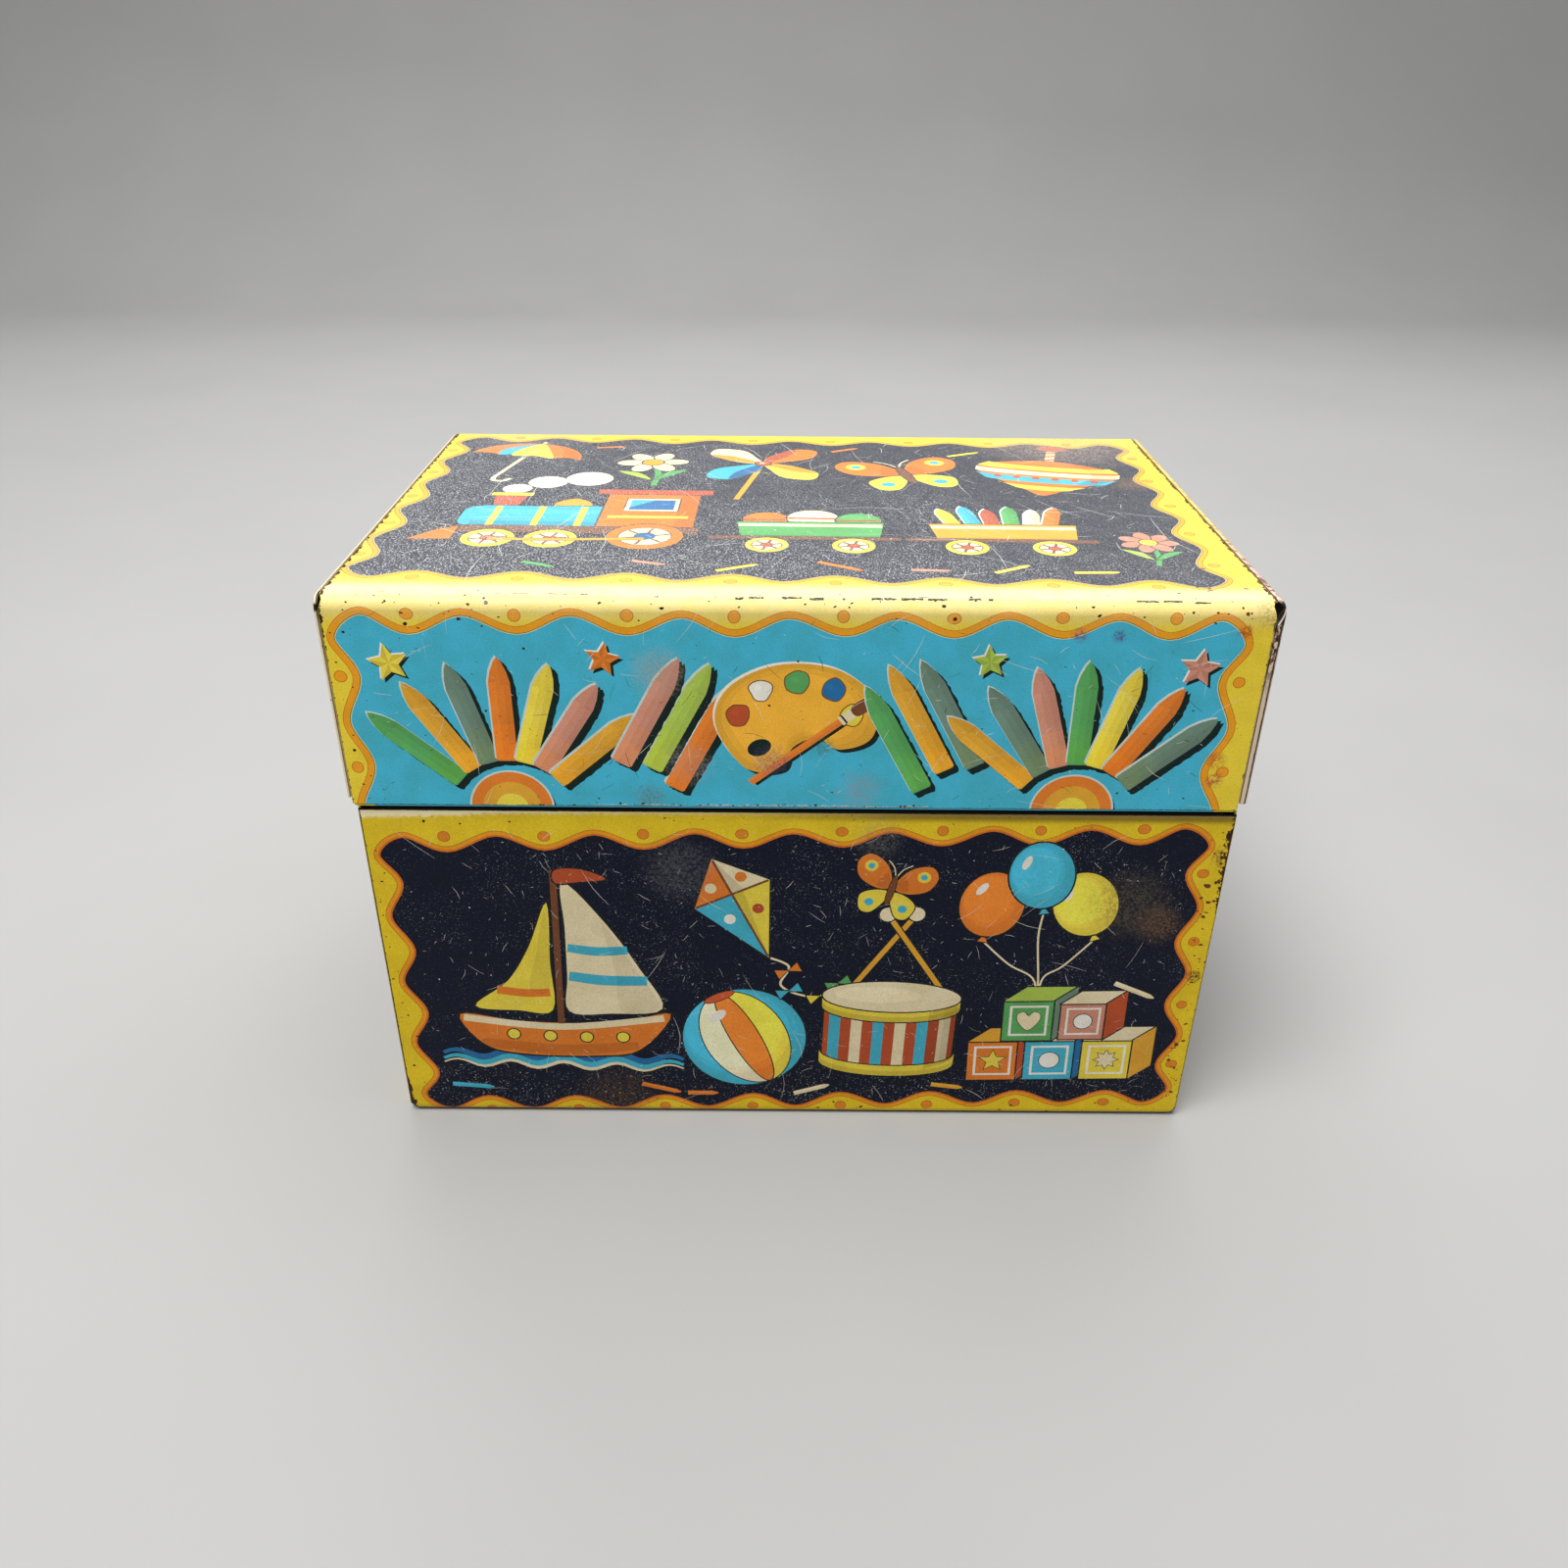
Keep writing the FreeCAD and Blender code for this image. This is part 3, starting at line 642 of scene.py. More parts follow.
def wagon(ink, load):
    """Toy wagon with a load of balls or crayons."""
    result = []
    if load == "balls":
        for x, y, r, colour in ((-6.4, 7.4, 3.4, "tangerine"), (0.4, 8.2, 3.8, "cream"), (7.0, 7.4, 3.3, "leaf")):
            result += outlined(colour, circle(x, y, r, 26)) + [(GLOW, circle(x - 0.9, y + 0.9, 0.55 * r, 18)),
                                                               ("brick", ribbon([(x - r, y), (x + r, y)], 0.7))]
    else:
        for i, colour in enumerate(("lemon", "sky", "brick", "leaf", "cream", "tangerine")):
            result += crayon(-7.4 + 3.0 * i, 8.2 + 1.2 * (i % 2), 90 + 5 * (2.5 - i), colour, 11, 2.3)
    result += outlined(ink, [(-10.6, 6.4), (10.6, 6.4), (9.6, -1.2), (-9.6, -1.2)])
    result += [("cream", rectangle(-10.3, 4.4, 10.3, 5.6)), (SHADE, rectangle(-9.7, -1.2, 9.7, 0.6))]
    result += outlined("brown", rectangle(-14.2, -1.2, 12.6, 0.0), 0.16)
    return result + wheel(-6.0, -3.6, 3.0) + wheel(6.0, -3.6, 3.0)


def umbrella():
    """Open toy parasol."""
    dome = [(9.6 * math.cos(a), 8.4 * math.sin(a)) for a in np.linspace(0, math.pi, 22)]
    low = []
    for i in range(4):
        low += [(u, v) for u, v in ellipse(-7.2 + 4.8 * i, 0.0, 2.4, 1.1, 0, 8, 180, -180)][1:]
    result = outlined("cream", rectangle(-0.35, -12.5, 0.35, 9.6), 0.18)
    result += [("cream", ribbon(smooth([(0, -12.2), (0.6, -13.8), (2.2, -13.8), (2.8, -12.2)], False), 0.8))]
    result += outlined("tangerine", dome + low)
    for i, ink in enumerate(("sky", "lemon")):
        a, b = (-4.8, -2.4)[i] * 1.0, (0.0, 4.8)[i]
        result.append((ink, smooth([(0, 8.4), (a, 4.4), (a, 0.3), ((a + b) / 2, 1.0), (b, 0.3), (0.6 * b, 4.4)],
                                   steps=4)))
    result += [(SHADE, smooth([(3.2, 7.8), (7.4, 4.8), (9.4, 0.4), (6.4, 1.0), (5.2, 4.6)], steps=4))]
    return result


# Wave and dot border

def border_line(x0, y0, x1, y1, across, along, depth, seed):
    """Scalloped line round a panel: lobes outward, troughs inward, and one lobe at each corner."""
    chance = random.Random(seed)
    pitch_x = (x1 - x0) / (across - 1 + 1.44)
    pitch_y = (y1 - y0) / (along - 1 + 1.36)
    near_x, near_y = 0.28 * pitch_x, 0.27 * pitch_y
    troughs_x = [x0 + (0.72 + i) * pitch_x for i in range(across)]
    troughs_y = [y0 + (0.68 + i) * pitch_y for i in range(along)]

    def side(start, troughs, end, level, inner):
        points = [(start, level)]
        for a, b in zip(troughs, troughs[1:] + [None]):
            points.append((a, inner))
            if b is not None:
                points.append(((a + b) / 2, level))
        return points + [(end, level)]

    low = side(x0 + near_x, troughs_x, x1 - near_x, y0, y0 + depth)
    right = [(q, p) for p, q in side(y0 + near_y, troughs_y, y1 - near_y, x1, x1 - depth)]
    high = side(x1 - near_x, troughs_x[::-1], x0 + near_x, y1, y1 - depth)
    left = [(q, p) for p, q in side(y1 - near_y, troughs_y[::-1], y0 + near_y, x0, x0 + depth)]
    points = roughened(low + right + high + left, 0.16, chance)
    return smooth(points, steps=7), {"low": [(x, y0 + depth) for x in troughs_x],
                                     "right": [(x1 - depth, y) for y in troughs_y],
                                     "high": [(x, y1 - depth) for x in troughs_x],
                                     "left": [(x0 + depth, y) for y in troughs_y]}


def border(x0, y0, x1, y1, across, along, ground, layers, dots, seed, depth=2.7, reach=2.3):
    """The whole border of a panel: its line in layers, its ground, and dots in the troughs of the sides named."""
    line, troughs = border_line(x0, y0, x1, y1, across, along, depth, seed)
    out = normals_of(line)
    result = []
    chance = random.Random(seed + 1)
    lines, dot_inks = layers
    for ink, offset in lines + [(ground, -0.66 if ground == "sky" else -0.58)]:
        result.append((ink, [tuple(q) for q in np.array(line) + out * offset]))
    ways = {"low": (0, -1), "right": (1, 0), "high": (0, 1), "left": (-1, 0)}
    for side in dots:
        for x, y in troughs[side]:
            u = x + ways[side][0] * reach + chance.uniform(-0.3, 0.3)
            v = y + ways[side][1] * reach + chance.uniform(-0.2, 0.2)
            wide, high = 0.96 + chance.uniform(-0.08, 0.08), 0.92 + chance.uniform(-0.08, 0.08)
            result.append((dot_inks[0], ellipse(u, v, wide, high, 0, 22)))
            result.append((dot_inks[1], ellipse(u, v, wide - 0.14, high - 0.14, 0, 20)))
    return result


LID_LAYERS = ([("burnt", 0.58), ("orange", 0.48), ("moss", -0.44), ("pale", -0.54)], ("burnt", "orange"))
TOP_LAYERS = ([("olive", 0.46), ("amber", 0.32), ("olive", -0.28), ("pale", -0.46)], ("olive", "amber"))
BASE_LAYERS = ([("burnt", 0.56), ("orange", 0.44), ("ember", -0.18), ("line", -0.5)], ("burnt", "ginger"))


# Marks of use

def scratches(x0, y0, x1, y1, count, longest, seed, width=0.1, ink="scratch"):
    """Fine scratches, most of them short, in all directions."""
    chance = random.Random(seed)
    result = []
    for _ in range(count):
        length = 0.5 + (longest - 0.5) * chance.random() ** 3.2
        a = chance.uniform(0, math.pi)
        x, y = chance.uniform(x0, x1), chance.uniform(y0, y1)
        bow = chance.uniform(-0.09, 0.09) * length
        dx, dy = length / 2 * math.cos(a), length / 2 * math.sin(a)
        line = [(x - dx, y - dy), (x - bow * math.sin(a), y + bow * math.cos(a)), (x + dx, y + dy)]
        thick = width * chance.uniform(0.55, 1.25)
        result.append((ink, ribbon(smooth(line, False, 3 if length > 3 else 2), thick, 0.7)))
    return result


def chips(x0, y0, x1, y1, count, size, seed, ink="chip"):
    """Small ragged chips in the paint."""
    chance = random.Random(seed)
    result = []
    for _ in range(count):
        wide = size * (0.35 + chance.random() ** 2)
        high = wide * chance.uniform(0.35, 1.0)
        shape = ellipse(chance.uniform(x0, x1), chance.uniform(y0, y1), wide, high, chance.uniform(-25, 25), 8)
        result.append((ink, roughened(shape, 0.22 * wide, chance)))
    return result


def broken_line(x0, x1, y, step, seed, ink="chip", high=0.16):
    """A worn line of slivers along a bend."""
    chance = random.Random(seed)
    result = []
    x = x0
    while x < x1:
        length = chance.uniform(0.4, 3.2)
        if chance.random() < 0.72:
            level = y + chance.uniform(-0.1, 0.1)
            count = max(3, int(length / 0.4))
            up = [(x + length * i / count, level + high * chance.uniform(0.3, 1.2)) for i in range(count + 1)]
            down = [(x + length * i / count, level - high * chance.uniform(0.3, 1.2)) for i in range(count, -1, -1)]
            result.append((ink, up + down))
        x += length + chance.uniform(0.1, step)
    return result


# Sheets: from flat to bent

class BentStrip:
    """Outer face of a sheet that is bent in one plane: straight runs and right-hand arcs along a path."""

    def __init__(self, start, heading, parts):
        self.parts = []
        self.folds = []
        point, way, along = np.array(start, float), np.array(heading, float), 0.0
        for length, radius in parts:
            out = np.array([-way[1], way[0]])
            self.parts.append((along, length, radius, point, way, out))
            if radius:
                centre = point - out * radius
                turn = -length / radius
                c, s = math.cos(turn), math.sin(turn)
                out = np.array([out[0] * c - out[1] * s, out[0] * s + out[1] * c])
                way = np.array([way[0] * c - way[1] * s, way[0] * s + way[1] * c])
                point = centre + out * radius
                self.folds.append((along, length, radius))
            else:
                point = point + way * length
            along += length
        self.length = along

    def lines(self, half):
        """Lines across the strip that let it follow its arcs."""
        return [((-half, along + length * i / BEND_STEPS), (half, along + length * i / BEND_STEPS))
                for along, length, _ in self.folds for i in range(BEND_STEPS + 1)]

    def place(self, flat, lift):
        """Points in space, and their outward normals, of flat points lifted off the face."""
        points, outs = np.zeros((len(flat), 3)), np.zeros((len(flat), 3))
        last = len(self.parts) - 1
        for i, (along, length, radius, start, way, out) in enumerate(self.parts):
            chosen = (flat[:, 1] >= along - (1e9 if i == 0 else 0)) & (flat[:, 1] < along + (1e9 if i == last else length))
            s = flat[chosen, 1] - along
            if radius:
                turn = -s / radius
                c, n = np.cos(turn), np.sin(turn)
                outward = np.stack([out[0] * c - out[1] * n, out[0] * n + out[1] * c], 1)
                spot = (start - out * radius) + outward * (radius + lift)
            else:
                outward = np.repeat(out[None], len(s), 0)
                spot = start + way * s[:, None] + outward * lift
            points[chosen] = np.column_stack([flat[chosen, 0], spot])
            outs[chosen] = np.column_stack([np.zeros(len(s)), outward])
        return points, outs


class FlatEnd:
    """Outer face of an end pan: flat points are (along the side, height), seen from outside."""

    def __init__(self, x):
        self.x = x
        self.way = 1.0 if x > 0 else -1.0

    def lines(self, half):
        return []

    def place(self, flat, lift):
        count = len(flat)
        points = np.column_stack([np.full(count, self.x + self.way * lift), self.way * flat[:, 0], flat[:, 1]])
        return points, np.tile([self.way, 0.0, 0.0], (count, 1))


def notched_side(edge, strip, bend, depth):
    """The right side of a wrap's outline, from its start to its end, with a notch at each bend."""
    reach = bend * math.sqrt(0.5)
    half_arc = math.pi * bend / 4
    edge = edge - SKIN_MARGIN
    steps = [bend * math.asin(reach * k / 4 / bend) for k in range(5)]
    steps.append(half_arc + (NOTCH_HALF - reach) / math.sqrt(0.5))
    result = []
    for along, length, _ in strip.folds:
        middle = along + length / 2
        for step in [-s for s in steps[:0:-1]] + steps:
            a = bend * math.sin(abs(step) / bend) if abs(step) <= half_arc else reach + (abs(step) - half_arc) * math.sqrt(0.5)
            result.append((edge - depth * (1 - a / NOTCH_HALF), middle + step))
    return result


def wrap_outline(left, right, strip, bend, depth, trim):
    """Outline of a wrap's print, with the corners at its start trimmed."""
    sides = []
    for edge in (right, -left):
        inner = edge - SKIN_MARGIN
        sides.append([(inner - trim, 0.0), (inner, trim)] + notched_side(edge, strip, bend, depth)
                     + [(inner, strip.length)])
    return sides[0] + [(-x, s) for x, s in sides[1][::-1]]


def covers(points, x, y):
    """Which of the places x, y lie inside the outline, by winding number."""
    p = np.array(points)
    inside = (x >= p[:, 0].min()) & (x <= p[:, 0].max()) & (y >= p[:, 1].min()) & (y <= p[:, 1].max())
    index = np.nonzero(inside)[0]
    winding = np.zeros(len(index), int)
    px, py = x[index], y[index]
    for (x0, y0), (x1, y1) in zip(p, np.roll(p, -1, 0)):
        if y0 == y1:
            continue
        span = (py >= min(y0, y1)) & (py < max(y0, y1))
        if not span.any():
            continue
        left = (x1 - x0) * (py[span] - y0) - (px[span] - x0) * (y1 - y0)
        if y1 > y0:
            winding[span] += left > 0
        else:
            winding[span] -= left < 0
    return index[winding != 0]


def printed_skin(name, outline, shapes, sheet, body, material, ground="yellow"):
    """Mesh of one printed face: cut up along its inks, coloured, bent onto its sheet and closed underneath."""
    points, edges = [], []
    for line in [outline] + [shape[1] for shape in shapes]:
        start = len(points)
        points += [Vector((float(x), float(y))) for x, y in line]
        edges += [(start + i, start + (i + 1) % len(line)) for i in range(len(line))]
    for a, b in sheet.lines(max(x for x, _ in outline) + 1):
        edges.append((len(points), len(points) + 1))
        points += [Vector(a), Vector(b)]
    verts, _, faces = delaunay_2d_cdt(points, edges, [], 0, 1e-4, False)[:3]
    flat = np.array([(v[0], v[1]) for v in verts])
    faces = np.array([f for f in faces if len(f) == 3], int)
    middle = flat[faces].mean(1)
    colours = np.ones((len(faces), 3)) * -1
    for ink, line in [(ground, outline)] + shapes:
        found = covers(line, middle[:, 0], middle[:, 1])
        if isinstance(ink, str):
            colours[found] = linear(INKS[ink])
        else:
            colours[found] = np.minimum(colours[found] * np.array(ink), 1.0)
    kept = np.zeros(len(faces), bool)
    kept[covers(outline, middle[:, 0], middle[:, 1])] = True
    faces, colours = faces[kept], colours[kept]
    used, faces = np.unique(faces, return_inverse=True)
    faces = faces.reshape(-1, 3)
    flat = flat[used]
    a, b, c = flat[faces[:, 0]], flat[faces[:, 1]], flat[faces[:, 2]]
    turned = ((b - a)[:, 0] * (c - a)[:, 1] - (b - a)[:, 1] * (c - a)[:, 0]) < 0
    faces[turned] = faces[turned][:, ::-1]
    upper, outs = sheet.place(flat, SKIN_HIGH)
    lower, _ = sheet.place(flat, SKIN_LOW)
    count = len(flat)
    sides = np.concatenate([faces[:, [0, 1]], faces[:, [1, 2]], faces[:, [2, 0]]])
    keys = {(int(i), int(j)) for i, j in sides}
    rim = [(i, j) for i, j in keys if (j, i) not in keys]
    walls = [(j, i, i + count, j + count) for i, j in sorted(rim)]
    mesh = bpy.data.meshes.new(name)
    polygons = [tuple(map(int, f)) for f in faces] + [tuple(int(i) + count for i in f[::-1]) for f in faces] + walls
    mesh.from_pydata((np.concatenate([upper, lower]) * MM).tolist(), [], polygons)
    ink_layer = mesh.color_attributes.new(name="ink", type="FLOAT_COLOR", domain="CORNER")
    plain = linear(INKS[ground])
    corner = np.concatenate([np.repeat(colours, 3, 0), np.tile(plain, (3 * len(faces) + 4 * len(walls), 1))])
    ink_layer.data.foreach_set("color", np.column_stack([corner, np.ones(len(corner))]).astype(np.float32).ravel())
    mesh.polygons.foreach_set("use_smooth", [True] * len(polygons))
    wall_normals = []
    space = np.concatenate([upper, lower])
    for wall in walls:
        normal = np.cross(space[wall[1]] - space[wall[0]], space[wall[2]] - space[wall[0]])
        wall_normals += [normal / max(np.linalg.norm(normal), 1e-12)] * 4
    normals = np.concatenate([outs[faces.ravel()], -outs[faces[:, ::-1].ravel()]] + ([wall_normals] if walls else []))
    mesh.normals_split_custom_set(normals.tolist())
    piece = bpy.data.objects.new(name, mesh)
    bpy.context.scene.collection.objects.link(piece)
    mesh.materials.append(material)
    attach(piece, body)
    return piece


# Node materials

class Finish:
    """A node material, built up with short calls."""

    def __init__(self, name):
        self.material = bpy.data.materials.new(name)
        self.material.use_nodes = True
        self.nodes = self.material.node_tree.nodes
        self.links = self.material.node_tree.links
        self.shader = self.nodes["Principled BSDF"]
        place = self.nodes.new("ShaderNodeTexCoord")
        scale = self.nodes.new("ShaderNodeVectorMath")
        scale.operation = "SCALE"
        scale.inputs["Scale"].default_value = 1 / MM
        self.links.new(place.outputs["Object"], scale.inputs[0])
        self.place = scale.outputs[0]
        parts = self.nodes.new("ShaderNodeSeparateXYZ")
        self.links.new(self.place, parts.inputs[0])
        self.x, self.y, self.z = parts.outputs

    def put(self, socket, value):
        if isinstance(value, bpy.types.NodeSocket):
            self.links.new(value, socket)
        elif value is not None:
            socket.default_value = value

    def math(self, operation, a, b=None, c=None, clamp=False):
        node = self.nodes.new("ShaderNodeMath")
        node.operation = operation
        node.use_clamp = clamp
        for socket, value in zip(node.inputs, (a, b, c)):
            self.put(socket, value)
        return node.outputs[0]

    def ramp(self, value, start, end, low=0.0, high=1.0):
        """Smooth step of a value from start to end."""
        node = self.nodes.new("ShaderNodeMapRange")
        node.interpolation_type = "SMOOTHSTEP"
        for name, given in (("Value", value), ("From Min", start), ("From Max", end), ("To Min", low),
                            ("To Max", high)):
            self.put(node.inputs[name], given)
        return node.outputs["Result"]

    def noise(self, size, detail=2.0, rough=0.5, stretch=None, offset=0.0):
        """Noise whose features are about the given size in millimetres."""
        node = self.nodes.new("ShaderNodeTexNoise")
        vector = self.place
        if stretch or offset:
            mapping = self.nodes.new("ShaderNodeMapping")
            mapping.inputs["Scale"].default_value = stretch or (1, 1, 1)
            mapping.inputs["Location"].default_value = (offset, offset, offset)
            self.links.new(vector, mapping.inputs["Vector"])
            vector = mapping.outputs[0]
        self.links.new(vector, node.inputs["Vector"])
        node.inputs["Scale"].default_value = 1 / size
        node.inputs["Detail"].default_value = detail
        node.inputs["Roughness"].default_value = rough
        return node.outputs["Fac"]

    def mix(self, share, a, b, kind="MIX"):
        """Colour b over colour a, by a share."""
        node = self.nodes.new("ShaderNodeMix")
        node.data_type = "RGBA"
        node.blend_type = kind
        self.put(node.inputs["Factor"], share)
        for socket, value in ((node.inputs[6], a), (node.inputs[7], b)):
            if isinstance(value, tuple):
                value = (*value, 1.0)
            self.put(socket, value)
        return node.outputs[2]

    def spot(self, centre, radius, soft=0.5, ragged=None, amount=0.0):
        """Share that is 1 round a centre, with an edge that noise makes ragged."""
        node = self.nodes.new("ShaderNodeVectorMath")
        node.operation = "DISTANCE"
        self.links.new(self.place, node.inputs[0])
        node.inputs[1].default_value = centre
        distance = node.outputs["Value"]
        if ragged is not None:
            distance = self.math("MULTIPLY_ADD", self.math("SUBTRACT", ragged, 0.5), amount, distance)
        return self.ramp(distance, radius, radius * (1 - soft))

    def bump(self, height, strength, distance, below=None):
        node = self.nodes.new("ShaderNodeBump")
        node.inputs["Strength"].default_value = strength
        node.inputs["Distance"].default_value = distance
        self.links.new(height, node.inputs["Height"])
        if below is not None:
            self.links.new(below, node.inputs["Normal"])
        return node.outputs[0]


CREAM = linear((226, 208, 176))
RUST = linear((104, 58, 36))
DARK = linear((40, 27, 20))


def aged(f, colour, amount=1.0):
    """Grain, mottle and grime specks of an old print, and a fine grey speckle that is partly rubbed varnish and partly
    painted sheen, over a colour.
    """
    grain = f.noise(0.22, 2.0, 0.7)
    mottle = f.noise(5.0, 3.0, 0.6)
    colour = f.mix(1.0, colour, f.mix(f.ramp(grain, 0.3, 0.72), (0.86, 0.86, 0.88), (1.08, 1.08, 1.06)), "MULTIPLY")
    colour = f.mix(1.0, colour, f.mix(f.ramp(mottle, 0.3, 0.7), (0.93, 0.91, 0.85), (1.03, 1.03, 1.04)), "MULTIPLY")
    patches = f.ramp(f.noise(11.0, 2.0, 0.6, offset=31.0), 0.42, 0.72, 0.2, 1.0)
    specks = f.ramp(f.noise(0.42, 1.0, 0.5, offset=7.0), 0.75, 0.79)
    colour = f.mix(f.math("MULTIPLY", specks, f.math("MULTIPLY", patches, 0.7 * amount)), colour, DARK)
    # Fine grey speckle in patches: rubbed varnish, and also painted glints of sheen on the varnish.
    rubbed = f.ramp(f.noise(0.26, 1.5, 0.6, offset=-19.0), 0.64, 0.72)
    where = f.ramp(f.noise(7.0, 3.0, 0.6, offset=53.0), 0.38, 0.7, 0.1, 0.8)
    colour = f.mix(f.math("MULTIPLY", rubbed, f.math("MULTIPLY", where, 0.3 * amount)), colour, (0.42, 0.42, 0.44))
    return colour, grain, mottle


def varnish(f, grain, mottle, roughness=0.32, wear=None):
    """Old dull varnish over ink on tinplate, with a fine orange peel."""
    worn = f.math("MULTIPLY_ADD", f.ramp(mottle, 0.3, 0.75), 0.14, roughness)
    if wear is not None:
        worn = f.math("MULTIPLY_ADD", wear, 0.3, worn)
    f.put(f.shader.inputs["Roughness"], worn)
    f.shader.inputs["IOR"].default_value = 1.5
    f.shader.inputs["Specular IOR Level"].default_value = 0.13
    f.shader.inputs["Coat Weight"].default_value = 0.05
    f.shader.inputs["Coat Roughness"].default_value = 0.12
    dents = f.bump(f.noise(16.0, 1.0, 0.4, offset=3.0), 0.3, 0.0003)
    f.put(f.shader.inputs["Normal"], f.bump(grain, 0.22, 0.00002, dents))


def dark_line(f, distance, line, height, span, wide):
    """Dark line down a side edge of a print, nicked inward, with flakes up to so wide about a height."""
    nicks = f.ramp(f.noise(0.7, 3.0, 0.7, offset=3.0), 0.52, 0.74, 0.0, 0.3)
    flakes = f.ramp(f.noise(1.3, 4.0, 0.75, offset=14.0), 0.42, 0.6, 0.1, 1.0)
    extra = f.math("MULTIPLY", f.ramp(f.math("ABSOLUTE", f.math("SUBTRACT", f.z, height)), span, 0.0), wide)
    reach = f.math("ADD", f.math("MULTIPLY_ADD", flakes, extra, line), nicks)
    return f.ramp(f.math("SUBTRACT", reach, distance), 0.0, 0.05)


def print_finish(name, edges, marks, shading_tint=(1.0, 1.0, 1.0)):
    """Printed skin: its inks, darkened by a tint of painted shade where one is given, aged, with worn side edges and
    the marks given.
    """
    f = Finish(name)
    ink = f.nodes.new("ShaderNodeAttribute")
    ink.attribute_name = "ink"
    colour, grain, mottle = aged(f, f.mix(1.0, ink.outputs["Color"], shading_tint, "MULTIPLY"))
    wear = None
    for mark in marks:
        colour = mark(f, colour)
    if edges:
        left, right, left_marks, right_marks = edges
        on_left = dark_line(f, f.math("SUBTRACT", f.x, left), *left_marks)
        on_right = dark_line(f, f.math("SUBTRACT", right, f.x), *right_marks)
        wear = f.math("MAXIMUM", on_left, on_right)
        colour = f.mix(wear, colour, linear((56, 32, 20)))
    f.put(f.shader.inputs["Base Color"], colour)
    varnish(f, grain, mottle, wear=wear)
    return f.material


def ink_levels(f, colour):
    """Red and green of a colour."""
    channels = f.nodes.new("ShaderNodeSeparateColor")
    f.links.new(colour, channels.inputs[0])
    return channels.outputs[0], channels.outputs[1]


def bend_highlight_and_wear(f, colour):
    """Painted highlight on the bend between the lid's front and top, as yellow ink faded pale; and the print rubbed to
    ragged cream along the bend's crest.
    """
    # Painted highlight: yellow ink faded toward pale cream on the top's front strip and the front's upper part, in
    # place of light on the bend.
    behind = f.math("SUBTRACT", f.y, FRONT)
    below = f.math("SUBTRACT", TOP, f.z)
    on_top = f.math("MULTIPLY", f.ramp(behind, 7.2, 3.4), f.ramp(below, 0.6, 0.0, 0.0, 1.0))
    on_front = f.math("MULTIPLY", f.ramp(below, 4.4, 0.4, 0.0, 0.8), f.math("LESS_THAN", behind, 2.1))
    cloudy = f.ramp(f.noise(3.0, 3.0, 0.6, offset=47.0), 0.25, 0.75, 0.75, 1.0)
    red, green = ink_levels(f, colour)
    yellow_ink = f.math("MULTIPLY", f.ramp(red, 0.3, 0.6), f.ramp(green, 0.36, 0.55, 0.25, 1.0))
    painted_highlight = f.math("MULTIPLY", f.math("MULTIPLY", f.math("MAXIMUM", on_top, on_front), cloudy), yellow_ink)
    colour = f.mix(f.math("MULTIPLY", painted_highlight, 0.58), colour, linear((240, 234, 204)))
    # Wear: ragged cream rubbed along the crest of the bend.
    over = f.math("ABSOLUTE", f.math("SUBTRACT", behind, below))
    near = f.ramp(over, 2.6, 0.6)
    ragged = f.ramp(f.noise(1.3, 4.0, 0.7, stretch=(0.5, 1, 1), offset=17.0), 0.6, 0.7)
    return f.mix(f.math("MULTIPLY", f.math("MULTIPLY", near, ragged), 0.35), colour, CREAM)


def top_sheen_speckle(f, colour):
    """Painted sheen: fine pale-grey speckle and a faint haze over the top's dark inks, in place of its glare, densest
    to the front and the left.
    """
    # Painted sheen: dark inks on the top lightened toward grey in specks and a faint haze.
    on_top = f.ramp(f.z, TOP - 0.6, TOP - 0.1)
    fine = f.ramp(f.noise(0.24, 1.0, 0.6, stretch=(1, 0.7, 1), offset=-41.0), 0.54, 0.66)
    slope = f.math("MULTIPLY_ADD", f.math("ADD", f.x, f.y), -0.006, 0.5)
    broad = f.ramp(f.math("ADD", f.noise(12.0, 3.0, 0.6, offset=9.0), slope), 0.75, 1.35, 0.3, 1.0)
    dark_ink = f.ramp(ink_levels(f, colour)[1], 0.16, 0.03, 0.3, 1.0)
    share = f.math("MULTIPLY_ADD", f.math("MULTIPLY", fine, broad), 0.7, 0.05)
    return f.mix(f.math("MULTIPLY", f.math("MULTIPLY", share, dark_ink), on_top), colour, (0.6, 0.6, 0.59))


def base_speckle(f, colour):
    """Fine pale specks over the base's front, in clusters."""
    in_front = f.math("LESS_THAN", f.y, BASE_FRONT + 0.1)
    fine = f.ramp(f.noise(0.24, 1.0, 0.5, offset=-21.0), 0.65, 0.74)
    broad = f.ramp(f.noise(9.0, 3.0, 0.6, offset=29.0), 0.42, 0.66, 0.1, 1.0)
    low = f.ramp(f.z, 14.0, 5.0, 0.0, 0.5)
    share = f.math("MULTIPLY", fine, f.math("ADD", f.math("MULTIPLY", broad, 0.5), low))
    dark_ink = f.ramp(ink_levels(f, colour)[1], 0.1, 0.02)
    return f.mix(f.math("MULTIPLY", f.math("MULTIPLY", share, dark_ink), in_front), colour, linear((176, 178, 172)))


